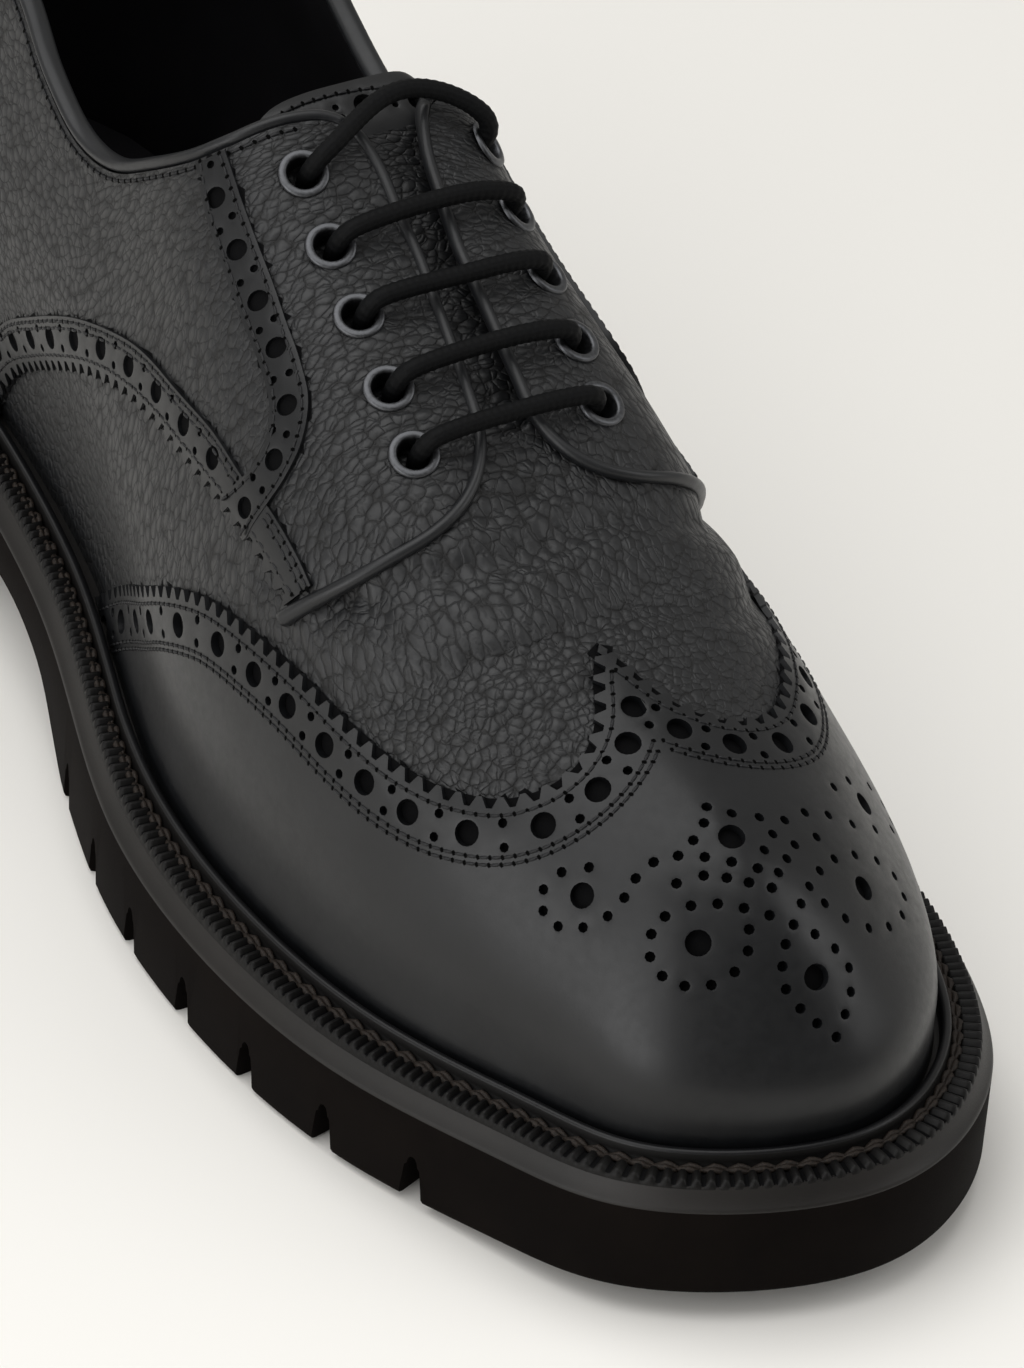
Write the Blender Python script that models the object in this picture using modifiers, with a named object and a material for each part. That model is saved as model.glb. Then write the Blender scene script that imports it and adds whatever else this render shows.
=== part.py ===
"""A black full-brogue derby shoe for the right foot, with a lug sole.

The upper is worked out on the surface of a last. The last has a flat pattern in millimetres:
across (lateral side negative, medial positive) and along (toe negative, heel positive). The
leather pieces are drawn on the pattern, carried onto the last and given their thickness.
"""
import math

import bmesh
import bpy
import numpy as np
from mathutils import Matrix, Vector
from mathutils.bvhtree import BVHTree
from mathutils.geometry import delaunay_2d_cdt

MM = 0.001
SOLE_LENGTH = 0.308
BALL_WIDTH = 0.112

# share from the heel back, lateral half width, medial half width (shares of the ball width)
OUTLINE = [
    (0.04, 0.215, 0.245), (0.14, 0.312, 0.345), (0.27, 0.330, 0.350),
    (0.42, 0.368, 0.335), (0.56, 0.470, 0.400), (0.69, 0.493, 0.463),
    (0.80, 0.445, 0.468), (0.89, 0.352, 0.408), (0.955, 0.252, 0.300),
]
TOE_TIP = 0.058
HEEL_SEAT = 36.0
TREAD = 20.0
TOE_SPRING = 6.0
INSTEP_HEIGHT = 103.0
WELT_WIDTH = 8.7
SWELL = 3.0
# share, height of the sole's top over the tread: shares of the heel's lift and of the toe spring
SOLE_TOP = [
    (0, 1.0, 0), (0.2, 0.94, 0), (0.4, 0.406, 0), (0.6, 0.012, 0), (0.75, 0, 0),
    (0.88, 0, 0.333), (1, 0, 0.917),
]
# share, distance from the sole's edge in to the upper's foot (shares of the welt's width)
INSET = [
    (0, 1.000), (0.2, 1.000), (0.4, 1.172), (0.6, 1.402), (1, 1.460),
]
# share, ridge height over the sole's top (share of the instep's height), shift to the medial side
# (share of the ball width), plan roundness, height roundness
RIDGE = [
    (0, 1.000, 0, 2.9, 2), (0.2, 1.000, 0.018, 3.6, 2.2), (0.35, 1.000, 0.031, 4.5, 2.6),
    (0.46, 0.951, 0.036, 4.6, 2.5), (0.54, 0.835, 0.022, 4, 2.35), (0.62, 0.738, 0, 3.8, 2.3),
    (0.7, 0.615, -0.022, 3.2, 2.3), (0.78, 0.505, -0.036, 2.4, 2.3),
    (0.86, 0.417, -0.022, 2.3, 2.1), (0.93, 0.340, -0.009, 2.3, 1.9), (1, 0.291, -0.009, 2.3, 1.7),
]
POLE_TOE = 0.865
POLE_HEEL = 0.13
# share, how far the upper swells past its foot on the lateral and medial side (shares of the swell)
BULGE = [
    (0, 1.000, 1.000), (0.25, 1.167, 1.500), (0.42, 1.167, 2.000), (0.58, 1.000, 1.667),
    (0.75, 1.000, 1.000), (1, 1.000, 1.000),
]
BULGE_AT = 0.20


def closed_curve(points, count):
    """Smooth closed curve through the points, sampled evenly in its parameter."""
    P = np.asarray(points, float)
    m = len(P)
    h = np.linalg.norm(np.roll(P, -1, 0) - P, axis=1) ** 0.5
    t = np.concatenate([[0], np.cumsum(h)])
    A = np.zeros((m, m))
    B = np.zeros((m, P.shape[1]))
    for i in range(m):
        hm, hp = h[i - 1], h[i]
        A[i, i - 1] += hp
        A[i, i] += 2 * (hm + hp)
        A[i, (i + 1) % m] += hm
        B[i] = 3 * (hp * (P[i] - P[i - 1]) / hm + hm * (P[(i + 1) % m] - P[i]) / hp)
    M = np.linalg.solve(A, B)
    u = np.linspace(0, t[-1], count, endpoint=False)
    k = np.clip(np.searchsorted(t, u, side="right") - 1, 0, m - 1)
    x = ((u - t[k]) / h[k])[:, None]
    hh = h[k][:, None]
    a, b = P[k], P[(k + 1) % m]
    return ((2*x**3 - 3*x**2 + 1)*a + (x**3 - 2*x**2 + x)*hh*M[k]
            + (-2*x**3 + 3*x**2)*b + (x**3 - x**2)*hh*M[(k + 1) % m])


def through(x, rows, column=1):
    """Smooth value of one column of a table at x."""
    R = np.asarray(rows, float)
    xs, ys = R[:, 0], R[:, column]
    h = np.diff(xs)
    d = np.diff(ys) / h
    m = np.zeros(len(xs))
    m[1:-1] = (d[:-1]*h[1:] + d[1:]*h[:-1]) / (h[:-1] + h[1:])
    m[0], m[-1] = d[0], d[-1]
    x = np.clip(x, xs[0], xs[-1])
    k = np.clip(np.searchsorted(xs, x, side="right") - 1, 0, len(xs) - 2)
    t = (x - xs[k]) / h[k]
    return ((2*t**3 - 3*t**2 + 1)*ys[k] + (t**3 - 2*t**2 + t)*h[k]*m[k]
            + (-2*t**3 + 3*t**2)*ys[k + 1] + (t**3 - t**2)*h[k]*m[k + 1])


def evenly(P, count, closed=True):
    """A polyline resampled at equal steps."""
    P = np.asarray(P, float)
    Q = np.vstack([P, P[:1]]) if closed else P
    d = np.r_[0, np.cumsum(np.linalg.norm(np.diff(Q, axis=0), axis=1))]
    u = np.linspace(0, d[-1], count, endpoint=not closed)
    return np.stack([np.interp(u, d, Q[:, i]) for i in range(Q.shape[1])], 1)


def share(P):
    return 0.5 - P[..., 1] / SOLE_LENGTH


def sole_top(s):
    heel = through(s, SOLE_TOP, 1) * (HEEL_SEAT - TREAD)
    toe = through(s, SOLE_TOP, 2) * TOE_SPRING
    return (TREAD + heel + toe) * MM


def across_mm(column):
    return column * BALL_WIDTH / MM


def plan_normals(P):
    t = np.roll(P, -1, 0) - np.roll(P, 1, 0)
    t /= np.linalg.norm(t, axis=1)[:, None]
    n = np.stack([t[:, 1], -t[:, 0]], 1)
    return n * np.sign(((P - P.mean(0)) * n).sum())


def sole_outline(count):
    """Outsole outline in plan, from the toe tip round the lateral side."""
    lateral = [(-BALL_WIDTH*l, s*SOLE_LENGTH) for s, l, m in OUTLINE][::-1]
    medial = [(BALL_WIDTH*m, s*SOLE_LENGTH) for s, l, m in OUTLINE]
    points = [(BALL_WIDTH*TOE_TIP, SOLE_LENGTH)] + lateral + [(0, 0)] + medial
    Q = closed_curve(points, 4 * count)
    Q = np.stack([Q[:, 0], SOLE_LENGTH/2 - Q[:, 1]], 1)
    return evenly(Q, count)


class Form:
    """The last's surface and its flat pattern (millimetres: across, along)."""

    def __init__(self, around, down):
        out = sole_outline(around)
        n = plan_normals(out)
        feather = evenly(out - n * (through(share(out), INSET) * WELT_WIDTH * MM)[:, None], around)
        nf = plan_normals(feather)
        sf = share(feather)
        st = POLE_HEEL + (POLE_TOE - POLE_HEEL) * (sf - sf.min()) / (sf.max() - sf.min())
        T = np.stack([through(st, RIDGE, 2) * BALL_WIDTH, (0.5 - st) * SOLE_LENGTH], 1)
        v = 1 - (1 - np.linspace(0, 1, 500)) ** 1.5
        wide = through(st, RIDGE, 3)[:, None]
        tall = through(st, RIDGE, 4)[:, None]
        f = 1 - np.abs(np.cos(np.pi * v / 2))[None, :] ** (2 / wide)
        g = np.sin(np.pi * v / 2)[None, :] ** (2 / tall)
        side = 0.5 + 0.5 * np.tanh((feather[:, 0] - T[:, 0]) / (12 * MM))
        swell = through(sf, BULGE, 1) * (1 - side) + through(sf, BULGE, 2) * side
        b = swell[:, None] * SWELL * MM * ((v / BULGE_AT) ** 2 * np.exp(1 - (v / BULGE_AT) ** 2))[None, :]
        xy = feather[:, None] + (T - feather)[:, None] * f[..., None] + nf[:, None] * b[..., None]
        s = share(xy)
        low = sole_top(sf)[:, None]
        z = low + (through(s, RIDGE) * INSTEP_HEIGHT * MM + sole_top(s) - low) * g
        P = np.concatenate([xy, z[..., None]], 2)[:, ::-1]
        arc = np.linalg.norm(np.diff(P, axis=1), axis=2)
        arc = np.concatenate([np.zeros((around, 1)), np.cumsum(arc, 1)], 1)
        self.length = arc[:, -1]
        lam = np.linspace(0, 1, down + 1)
        G = np.empty((around, down + 1, 3))
        for i in range(around):
            for k in range(3):
                G[i, :, k] = np.interp(lam * arc[i, -1], arc[i], P[i, :, k])
        D = feather - T
        D /= np.linalg.norm(D, axis=1)[:, None]
        self.flat_start = T / MM
        self.flat_way = D
        C = self.flat_start[:, None] + D[:, None] * (lam[None, :] * self.length[:, None] / MM)[..., None]
        # The surface runs on straight down below the foot of the upper.
        drop = np.arange(1, 4) * 2.0
        C = np.concatenate([C, C[:, -1:] + D[:, None] * drop[None, :, None]], 1)
        below = np.repeat(G[:, -1:], 3, 1)
        below[..., 2] -= drop[None, :] * MM
        G = np.concatenate([G, below], 1)
        self.out, self.feather, self.down = out, feather, down
        self.G, self.C, self.st, self.sf = G, C, st, sf
        cols = G.shape[1]
        i = np.arange(around)
        j = (i + 1) % around
        k = np.arange(cols - 1)
        a = (i[:, None] * cols + k).ravel()
        bq = (j[:, None] * cols + k).ravel()
        tris = np.concatenate([np.stack([a, bq, bq + 1], 1), np.stack([a, bq + 1, a + 1], 1)])
        self.flat = C.reshape(-1, 2)
        self.solid = G.reshape(-1, 3)
        p, q, r = (self.flat[tris[:, c]] for c in range(3))
        area = (q[:, 0]-p[:, 0])*(r[:, 1]-p[:, 1]) - (q[:, 1]-p[:, 1])*(r[:, 0]-p[:, 0])
        self.area = area
        tris = tris[np.abs(area) > 1e-7]
        self.tris = tris
        verts = [(x, y, 0.0) for x, y in self.flat]
        self.tree = BVHTree.FromPolygons(verts, tris.tolist())

    def lift(self, flat):
        """Points of the pattern carried onto the last."""
        flat = np.asarray(flat, float)
        hit = np.array([self.tree.find_nearest(Vector((x, y, 0.0)))[2] for x, y in flat])
        t = self.tris[hit]
        p, q, r = self.flat[t[:, 0]], self.flat[t[:, 1]], self.flat[t[:, 2]]
        d = (q[:, 0]-p[:, 0])*(r[:, 1]-p[:, 1]) - (q[:, 1]-p[:, 1])*(r[:, 0]-p[:, 0])
        u = ((flat[:, 0]-p[:, 0])*(r[:, 1]-p[:, 1]) - (flat[:, 1]-p[:, 1])*(r[:, 0]-p[:, 0])) / d
        w = ((q[:, 0]-p[:, 0])*(flat[:, 1]-p[:, 1]) - (q[:, 1]-p[:, 1])*(flat[:, 0]-p[:, 0])) / d
        u, w = np.clip(u, -1, 2)[:, None], np.clip(w, -1, 2)[:, None]
        return self.solid[t[:, 0]]*(1-u-w) + self.solid[t[:, 1]]*u + self.solid[t[:, 2]]*w

    def place(self, flat, offset=0.0, step=1.0):
        """Points of the pattern on the last, lifted off it by offset (mm), and the normals there."""
        flat = np.asarray(flat, float)
        dx, dy = np.array([step, 0]), np.array([0, step])
        across = self.lift(flat + dx) - self.lift(flat - dx)
        along = self.lift(flat + dy) - self.lift(flat - dy)
        n = np.cross(across, along)
        n /= np.linalg.norm(n, axis=1)[:, None]
        out = self.lift(flat)
        return out + n * (np.asarray(offset) * MM if np.ndim(offset) == 0 else np.asarray(offset)[:, None] * MM), n


# Thicknesses and gaps (mm)
WALL = 2.0
OVERLAY = 1.0
TRIM = 0.9
GAP = 0.4
TONGUE_THICK = 2.5
TONGUE_DROP = 1.2
INSOLE_THICK = 2.5
LATTICE = 12.2
HEM_GAP = 0.5
CLOSEST = 1.3
BAND_CLEAR = 2.5

# Sole (mm)
BEVEL_IN = 3.5
BEVEL_DOWN = 4.5
LUG_HEIGHT = 7.0
LUG_DEPTH = 11.0
SLOT_WIDTH = 3.8
HEEL_HEIGHT = 16.5
SEAT_GAP = 0.3
HEEL_BREAST = 0.285
# share, height of the outsole's underside: shares of the heel's height and of the toe spring
UNDERSIDE = [
    (0.000, 1.0, 0), (0.285, 1.0, 0), (0.34, 0.94, 0), (0.39, 0.804, 0), (0.425, 0.565, 0),
    (0.450, 0.238, 0), (0.47, 0.036, 0), (0.50, 0, 0), (0.70, 0, 0), (0.85, 0, 0.25), (1.0, 0, 1.0),
]
SLOTS = [0.485, 0.548, 0.606, 0.666, 0.726, 0.785, 0.842]
HEEL_SLOTS = [0.10, 0.185]

# Welt section, outward from its inner edge: share of its width, share of the rib's height
WELT_START = GAP + OVERLAY + 1.2
RIB_HEIGHT = 3.0
WELT_TOP = [(0, 0.067), (0, 0.8), (0.148, 1.0), (0.295, 0.833), (0.41, 0.3), (1.0, 0.3)]

# Facing edge: distance from the centre line, along (shares of the ball width and of the length)
FACING = [
    (0.062, 0.011), (0.046, -0.010), (0.043, -0.032), (0.039, -0.055), (0.042, -0.078),
    (0.044, -0.101), (0.047, -0.123), (0.052, -0.146), (0.074, -0.162), (0.112, -0.174),
    (0.165, -0.180), (0.232, -0.179), (0.308, -0.173), (0.379, -0.164), (0.443, -0.155),
]
# Collar from the facing's top to the back of the heel
COLLAR_LATERAL = [
    (0.062, 0.011), (0.085, 0.016), (0.125, 0.019), (0.192, 0.024), (0.223, 0.028), (0.286, 0.043),
    (0.366, 0.077), (0.433, 0.121), (0.452, 0.169), (0.420, 0.216), (0.373, 0.245), (0.339, 0.276),
    (0.321, 0.318), (0.295, 0.377), (0.241, 0.438), (0.134, 0.487), (0, 0.503),
]
COLLAR_MEDIAL = [
    (0.062, 0.011), (0.085, 0.015), (0.125, 0.017), (0.170, 0.020), (0.205, 0.028), (0.259, 0.049),
    (0.330, 0.084), (0.397, 0.127), (0.424, 0.172), (0.402, 0.218), (0.366, 0.250), (0.337, 0.282),
    (0.321, 0.321), (0.295, 0.377), (0.241, 0.438), (0.134, 0.487), (0, 0.503),
]
# Front of the base upper's throat
THROAT = [
    (0.071, 0.010), (0.057, -0.013), (0.054, -0.065), (0.059, -0.117), (0.054, -0.136),
    (0.032, -0.148), (0, -0.151),
]
# Wing edge from its peak to the sole
WING = [
    (0, -0.258), (0.029, -0.274), (0.049, -0.289), (0.071, -0.300), (0.112, -0.310),
    (0.161, -0.312), (0.223, -0.305), (0.290, -0.284), (0.341, -0.259), (0.391, -0.226),
    (0.443, -0.188), (0.509, -0.147), (0.583, -0.103), (0.670, -0.057), (0.768, -0.013),
    (0.875, 0.023), (1.000, 0.049), (1.116, 0.068),
]
# Curved band along the quarter's lower edge: top edge, then lower edge
BAND_TOP = [
    (0.359, -0.150), (0.375, -0.117), (0.395, -0.097), (0.424, -0.057), (0.503, 0.002),
    (0.594, 0.071), (0.668, 0.146), (0.728, 0.205), (0.799, 0.273), (0.875, 0.328), (0.964, 0.380),
    (1.071, 0.422),
]
BAND_LOW = [
    (0.427, -0.150), (0.450, -0.113), (0.489, -0.070), (0.552, -0.019), (0.650, 0.052),
    (0.746, 0.143), (0.817, 0.214), (0.893, 0.286), (0.964, 0.328), (1.071, 0.370),
]
# Strip down the quarter: rear edge, then front edge
STRIP_REAR = [
    (0.276, 0.037), (0.291, 0.019), (0.296, -0.003), (0.296, -0.026), (0.296, -0.049),
    (0.297, -0.070), (0.308, -0.086), (0.339, -0.096), (0.399, -0.094), (0.510, -0.073),
]
STRIP_FRONT = [
    (0.229, 0.027), (0.234, 0.003), (0.235, -0.016), (0.235, -0.039), (0.238, -0.058),
    (0.241, -0.080), (0.252, -0.099), (0.284, -0.112), (0.326, -0.117), (0.375, -0.117),
    (0.482, -0.112),
]
TONGUE = [
    (0, 0.039), (0.071, 0.037), (0.143, 0.032), (0.196, 0.020), (0.219, 0), (0.219, -0.065),
    (0.196, -0.130), (0.152, -0.162), (0.080, -0.179), (0, -0.182),
]
CORD = 3.5
EYELET_ACROSS = 0.146
EYELETS = [-0.003, -0.038, -0.075, -0.114, -0.147]
EYELET_WIRE = 1.5
EYELET_HOLE = CORD + 2.1
EYELET_RING = (CORD + 1.6 + EYELET_WIRE) / 2
COLLAR_TUBE = 3.0
PIPING = 2.2

COLOURS = {
    "polished": (0.030, 0.030, 0.032, 0.32),
    "pebbled": (0.027, 0.027, 0.029, 0.46),
    "sole": (0.012, 0.009, 0.008, 0.6),
    "welt": (0.016, 0.012, 0.010, 0.5),
    "lining": (0.009, 0.008, 0.010, 0.7),
    "cord": (0.024, 0.024, 0.026, 0.65),
    "metal": (0.150, 0.155, 0.160, 0.35),
}

form = Form(480, 110)


def centre(along):
    """Across position of the pattern's centre line."""
    return across_mm(through(0.5 - np.asarray(along, float) * MM / SOLE_LENGTH, RIDGE, 2))


def on_side(rows, side, step):
    """A smooth line through (across, along) rows on one side, with a point every step (mm)."""
    P = np.array(rows, float) * (BALL_WIDTH / MM, SOLE_LENGTH / MM)
    h = np.linalg.norm(np.diff(P, axis=0), axis=1) ** 0.5
    t = np.concatenate([[0], np.cumsum(h)])
    u = np.linspace(0, t[-1], 400)
    Q = np.stack([through(u, np.stack([t, P[:, i]], 1)) for i in (0, 1)], 1)
    length = np.linalg.norm(np.diff(Q, axis=0), axis=1).sum()
    Q = evenly(Q, max(int(round(length / step)), 1) + 1, closed=False)
    Q[:, 0] = side * Q[:, 0] + centre(Q[:, 1])
    return Q


def inside(points, polygon):
    """Which points lie inside a closed polygon."""
    x, y = points[:, 0:1], points[:, 1:2]
    a, b = polygon, np.roll(polygon, -1, 0)
    spans = (a[:, 1] > y) != (b[:, 1] > y)
    rise = np.where(b[:, 1] == a[:, 1], 1e-9, b[:, 1] - a[:, 1])
    cross = (b[:, 0] - a[:, 0]) * (y - a[:, 1]) / rise + a[:, 0]
    return ((spans & (x < cross)).sum(1) % 2) == 1


def distance(points, starts, ends):
    """Distance from each point to the nearest of some segments."""
    d = ends - starts
    size = (d ** 2).sum(1) + 1e-12
    t = ((points[:, None] - starts) * d).sum(2) / size
    near = starts + np.clip(t, 0, 1)[..., None] * d
    return np.sqrt(((points[:, None] - near) ** 2).sum(2)).min(1)


def circle(at, across, count):
    a = np.arange(count) * 2 * math.pi / count
    return np.asarray(at) + np.stack([np.cos(a), np.sin(a)], 1) * across / 2


def eyelet_at(side, along):
    return on_side([(EYELET_ACROSS, along), (EYELET_ACROSS, along - 0.01)], side, 10)[0]


# The leather pieces on the pattern. Each is a closed outline.
hem = (HEM_GAP * MM / form.length)[:, None]
foot = evenly(form.C[:, form.down] * (1 - hem) + form.flat_start * hem, 68)
below = evenly(form.C[:, form.down + 3], 84)
rise = ((RIB_HEIGHT + BAND_CLEAR) * MM / form.length)[:, None]
shelf = evenly(form.C[:, form.down] * (1 - rise) + form.flat_start * rise, 240)
outlines = {}
collar_line = {-1: on_side(COLLAR_LATERAL, -1, 8), 1: on_side(COLLAR_MEDIAL, 1, 8)}
for side, name in ((-1, "lateral"), (1, "medial")):
    behind = np.array([(1.107, 0.383), (1.107, 0.812), (0, 0.812), (0, 0.514)])
    behind = evenly(behind * (BALL_WIDTH / MM, SOLE_LENGTH / MM), 34, closed=False)
    behind[:, 0] = side * behind[:, 0] + centre(behind[:, 1])
    band_low = on_side(BAND_LOW, side, 8)
    band_top = on_side(BAND_TOP, side, 8)
    outlines["quarter_" + name] = np.concatenate([
        on_side(FACING, side, 6)[:-1], band_low, behind, collar_line[side][:0:-1]])
    rear = on_side(STRIP_REAR, side, 6)
    ahead = on_side(STRIP_FRONT, side, 6)
    outlines["strip_" + name] = np.concatenate([rear, ahead[::-1]])
    outlines["band_" + name] = np.concatenate([
        band_top[inside(band_top, shelf)], band_low[inside(band_low, shelf)][::-1]])

opening = np.concatenate([
    on_side(THROAT, 1, 8)[::-1], collar_line[1][1:], collar_line[-1][-2:0:-1],
    on_side(THROAT, -1, 8)[:-1]])
outlines["wing_cap"] = np.concatenate([
    on_side(WING, -1, 7.5)[::-1], on_side(WING, 1, 7.5)[1:],
    np.array([(1.25, -0.032), (1.25, -0.714), (-1.25, -0.714), (-1.25, -0.032)])
    * (BALL_WIDTH / MM, SOLE_LENGTH / MM)])
outlines["tongue"] = np.concatenate([on_side(TONGUE, 1, 7), on_side(TONGUE, -1, 7)[-2:0:-1]])
holes = [circle(eyelet_at(side, y), EYELET_HOLE, 8) for side in (-1, 1) for y in EYELETS]

TRIM_NODES = ["strip_lateral", "strip_medial", "band_lateral", "band_medial"]


def clipped(polygon):
    """Segments of a closed outline that lie on the upper's part of the pattern."""
    a, b = polygon, np.roll(polygon, -1, 0)
    keep = inside(a, below) | inside(b, below)
    return a[keep], b[keep]


def triangulate(loops, boundary):
    """Triangles of the pattern that follow the loops, with a regular lattice between them."""
    starts, ends = [boundary], [np.roll(boundary, -1, 0)]
    for loop in loops:
        a, b = clipped(loop)
        starts.append(a)
        ends.append(b)
    starts, ends = np.concatenate(starts), np.concatenate(ends)
    low, high = boundary.min(0), boundary.max(0)
    rows = int((high[1] - low[1]) / (LATTICE * 0.866)) + 2
    columns = int((high[0] - low[0]) / LATTICE) + 2
    grid = [(low[0] + (i + 0.5 * (j % 2)) * LATTICE, low[1] + j * LATTICE * 0.866)
            for j in range(rows) for i in range(columns)]
    grid = np.array(grid)
    grid = grid[inside(grid, boundary)]
    grid = grid[distance(grid, starts, ends) > 0.52 * LATTICE]
    points = np.concatenate([starts, ends, grid])
    count = len(starts)
    edges = [(i, count + i) for i in range(count)]
    result = delaunay_2d_cdt([Vector(p) for p in points], edges, [], 0, 0.05)
    flat = np.array([v[:] for v in result[0]])
    faces = np.array([f for f in result[2] if len(f) == 3])
    a, b, c = flat[faces[:, 0]], flat[faces[:, 1]], flat[faces[:, 2]]
    area = (b[:, 0]-a[:, 0])*(c[:, 1]-a[:, 1]) - (b[:, 1]-a[:, 1])*(c[:, 0]-a[:, 0])
    faces = np.where((area < 0)[:, None], faces[:, ::-1], faces)
    faces = faces[np.abs(area) > 0.02]
    faces = faces[inside(flat[faces].mean(1), boundary)]
    return flat, joined_up(flat, faces, CLOSEST)


def joined_up(flat, faces, closest):
    """The faces with points that lie closer than a distance made one, the shortest edges first."""
    edges = np.unique(np.sort(np.concatenate([faces[:, [0, 1]], faces[:, [1, 2]], faces[:, [2, 0]]]), 1), axis=0)
    size = np.linalg.norm(flat[edges[:, 0]] - flat[edges[:, 1]], axis=1)
    for k in np.argsort(size):
        if size[k] > closest:
            break
        a, b = edges[k]
        if a == b or np.linalg.norm(flat[a] - flat[b]) > closest:
            continue
        trial = np.where(faces == b, a, faces)
        kept = (trial[:, 0] != trial[:, 1]) & (trial[:, 1] != trial[:, 2]) & (trial[:, 2] != trial[:, 0])
        changed = trial[kept & (faces == b).any(1)]
        p, q, r = flat[changed[:, 0]], flat[changed[:, 1]], flat[changed[:, 2]]
        area = (q[:, 0]-p[:, 0])*(r[:, 1]-p[:, 1]) - (q[:, 1]-p[:, 1])*(r[:, 0]-p[:, 0])
        if len(area) and area.min() > 0.8:
            faces = trial[kept]
            edges = np.where(edges == b, a, edges)
    return faces


def rim_of(faces):
    """Directed edges that belong to one face only."""
    seen = {}
    for f in faces:
        for i in range(3):
            seen[(f[i], f[(i + 1) % 3])] = True
    return [e for e in seen if (e[1], e[0]) not in seen]


def drawn_in(flat, faces, amount):
    """The pattern with the rim of these faces moved inward."""
    moved = flat.copy()
    push = {}
    for a, b in rim_of(faces):
        d = flat[b] - flat[a]
        n = np.array([-d[1], d[0]]) / (np.linalg.norm(d) + 1e-9)
        push.setdefault(a, []).append(n)
        push.setdefault(b, []).append(n)
    for v, ns in push.items():
        n = np.sum(ns, 0)
        size = np.linalg.norm(n)
        if size > 0.3:
            moved[v] += n / size * amount / max(size / len(ns), 0.5)
    return moved


def collection(name):
    made = bpy.data.collections.new(name)
    bpy.context.scene.collection.children.link(made)
    return made


def material(name):
    r, g, b, rough = COLOURS[name]
    made = bpy.data.materials.new(name)
    made.use_nodes = True
    shader = made.node_tree.nodes["Principled BSDF"]
    shader.inputs["Base Color"].default_value = (r, g, b, 1)
    shader.inputs["Roughness"].default_value = rough
    shader.inputs["Metallic"].default_value = 1.0 if name == "metal" else 0.0
    return made


def add(name, mesh, look):
    ob = bpy.data.objects.new(name, mesh)
    SHOE.objects.link(ob)
    mesh.materials.clear()
    mesh.materials.append(LOOKS[look])
    return ob


def mesh_of(name, points, faces, smooth=False):
    mesh = bpy.data.meshes.new(name)
    mesh.from_pydata([tuple(map(float, p)) for p in points], [], [tuple(map(int, f)) for f in faces])
    mesh.update()
    if smooth:
        mesh.shade_smooth()
    return mesh


def leather(name, flat, faces, offset, thick, look):
    """A leather piece: triangles of the pattern at an offset from the last, made thick."""
    used = np.unique(faces)
    order = {v: i for i, v in enumerate(used)}
    points, _ = form.place(flat[used], offset)
    faces = [[order[v] for v in f] for f in faces]
    a, b, c = (points[[f[i] for f in faces]] for i in range(3))
    up = (np.cross(b - a, c - a)[:, 2]).sum()
    if up < 0:
        faces = [f[::-1] for f in faces]
    ob = add(name, mesh_of(name, points, faces, True), look)
    solid = ob.modifiers.new("thickness", "SOLIDIFY")
    solid.thickness = abs(thick) * MM
    solid.offset = 1.0 if thick > 0 else -1.0
    return ob


def tube(name, points, across, look, closed=False):
    """A round cord or binding along a line of points."""
    curve = bpy.data.curves.new(name, "CURVE")
    curve.dimensions = "3D"
    curve.bevel_depth = across * MM / 2
    curve.bevel_resolution = 2
    curve.use_fill_caps = True
    spline = curve.splines.new("POLY")
    spline.points.add(len(points) - 1)
    for point, p in zip(spline.points, points):
        point.co = (*map(float, p), 1.0)
    spline.use_cyclic_u = closed
    curve.materials.append(LOOKS[look])
    ob = bpy.data.objects.new(name, curve)
    SHOE.objects.link(ob)
    return ob


def shifted(line, amount):
    """A line on the pattern moved sideways (positive to the left of its run)."""
    d = np.gradient(line, axis=0)
    n = np.stack([-d[:, 1], d[:, 0]], 1)
    return line + n / np.linalg.norm(n, axis=1)[:, None] * amount


def smooth_line(points, step):
    """A 3-D line resampled at equal steps."""
    length = np.linalg.norm(np.diff(points, axis=0), axis=1).sum()
    return evenly(points, max(int(length / (step * MM)), 2), closed=False)


def stations(count):
    """Shares along the sole, closer at the toe and heel."""
    t = np.linspace(0, 1, count + 2)[1:-1]
    return 0.5 - 0.5 * np.cos(math.pi * t)


def ring(points, count, s=None):
    """A closed plan line as pairs with equal shares: toe, lateral side, heel, medial side."""
    toe, heel = points[:, 1].argmin(), points[:, 1].argmax()
    P = np.roll(points, -toe, 0)
    heel = (heel - toe) % len(P)
    one, other = P[:heel + 1], np.vstack([P[heel:], P[:1]])
    low, high = P[0, 1], P[heel, 1]
    ys = low + (high - low) * stations(count)
    first = np.stack([np.interp(ys, one[:, 1], one[:, 0]), ys], 1)
    second = np.stack([np.interp(ys, other[::-1, 1], other[::-1, 0]), ys], 1)
    return np.vstack([P[:1], first, P[heel:heel + 1], second[::-1]])


def ladder(start, count, flip):
    """Faces across a ring made by ring()."""
    n = 2 * count + 2
    left = [start + i for i in range(count + 2)]
    right = [start] + [start + n - i for i in range(1, count + 1)] + [start + count + 1]
    faces = [(left[0], left[1], right[1])]
    faces += [(left[i], left[i + 1], right[i + 1], right[i]) for i in range(1, count)]
    faces.append((left[count], left[count + 1], right[count]))
    return [f[::-1] for f in faces] if flip else faces


def stack(rings, closed_top=True):
    """Faces up through rings of equal count, bottom first."""
    n = len(rings[0])
    count = (n - 2) // 2
    faces = ladder(0, count, True)
    for r in range(len(rings) - 1):
        faces += [(r*n + i, r*n + (i + 1) % n, (r + 1)*n + (i + 1) % n, (r + 1)*n + i) for i in range(n)]
    faces += ladder((len(rings) - 1) * n, count, False)
    return np.vstack(rings), faces


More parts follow.
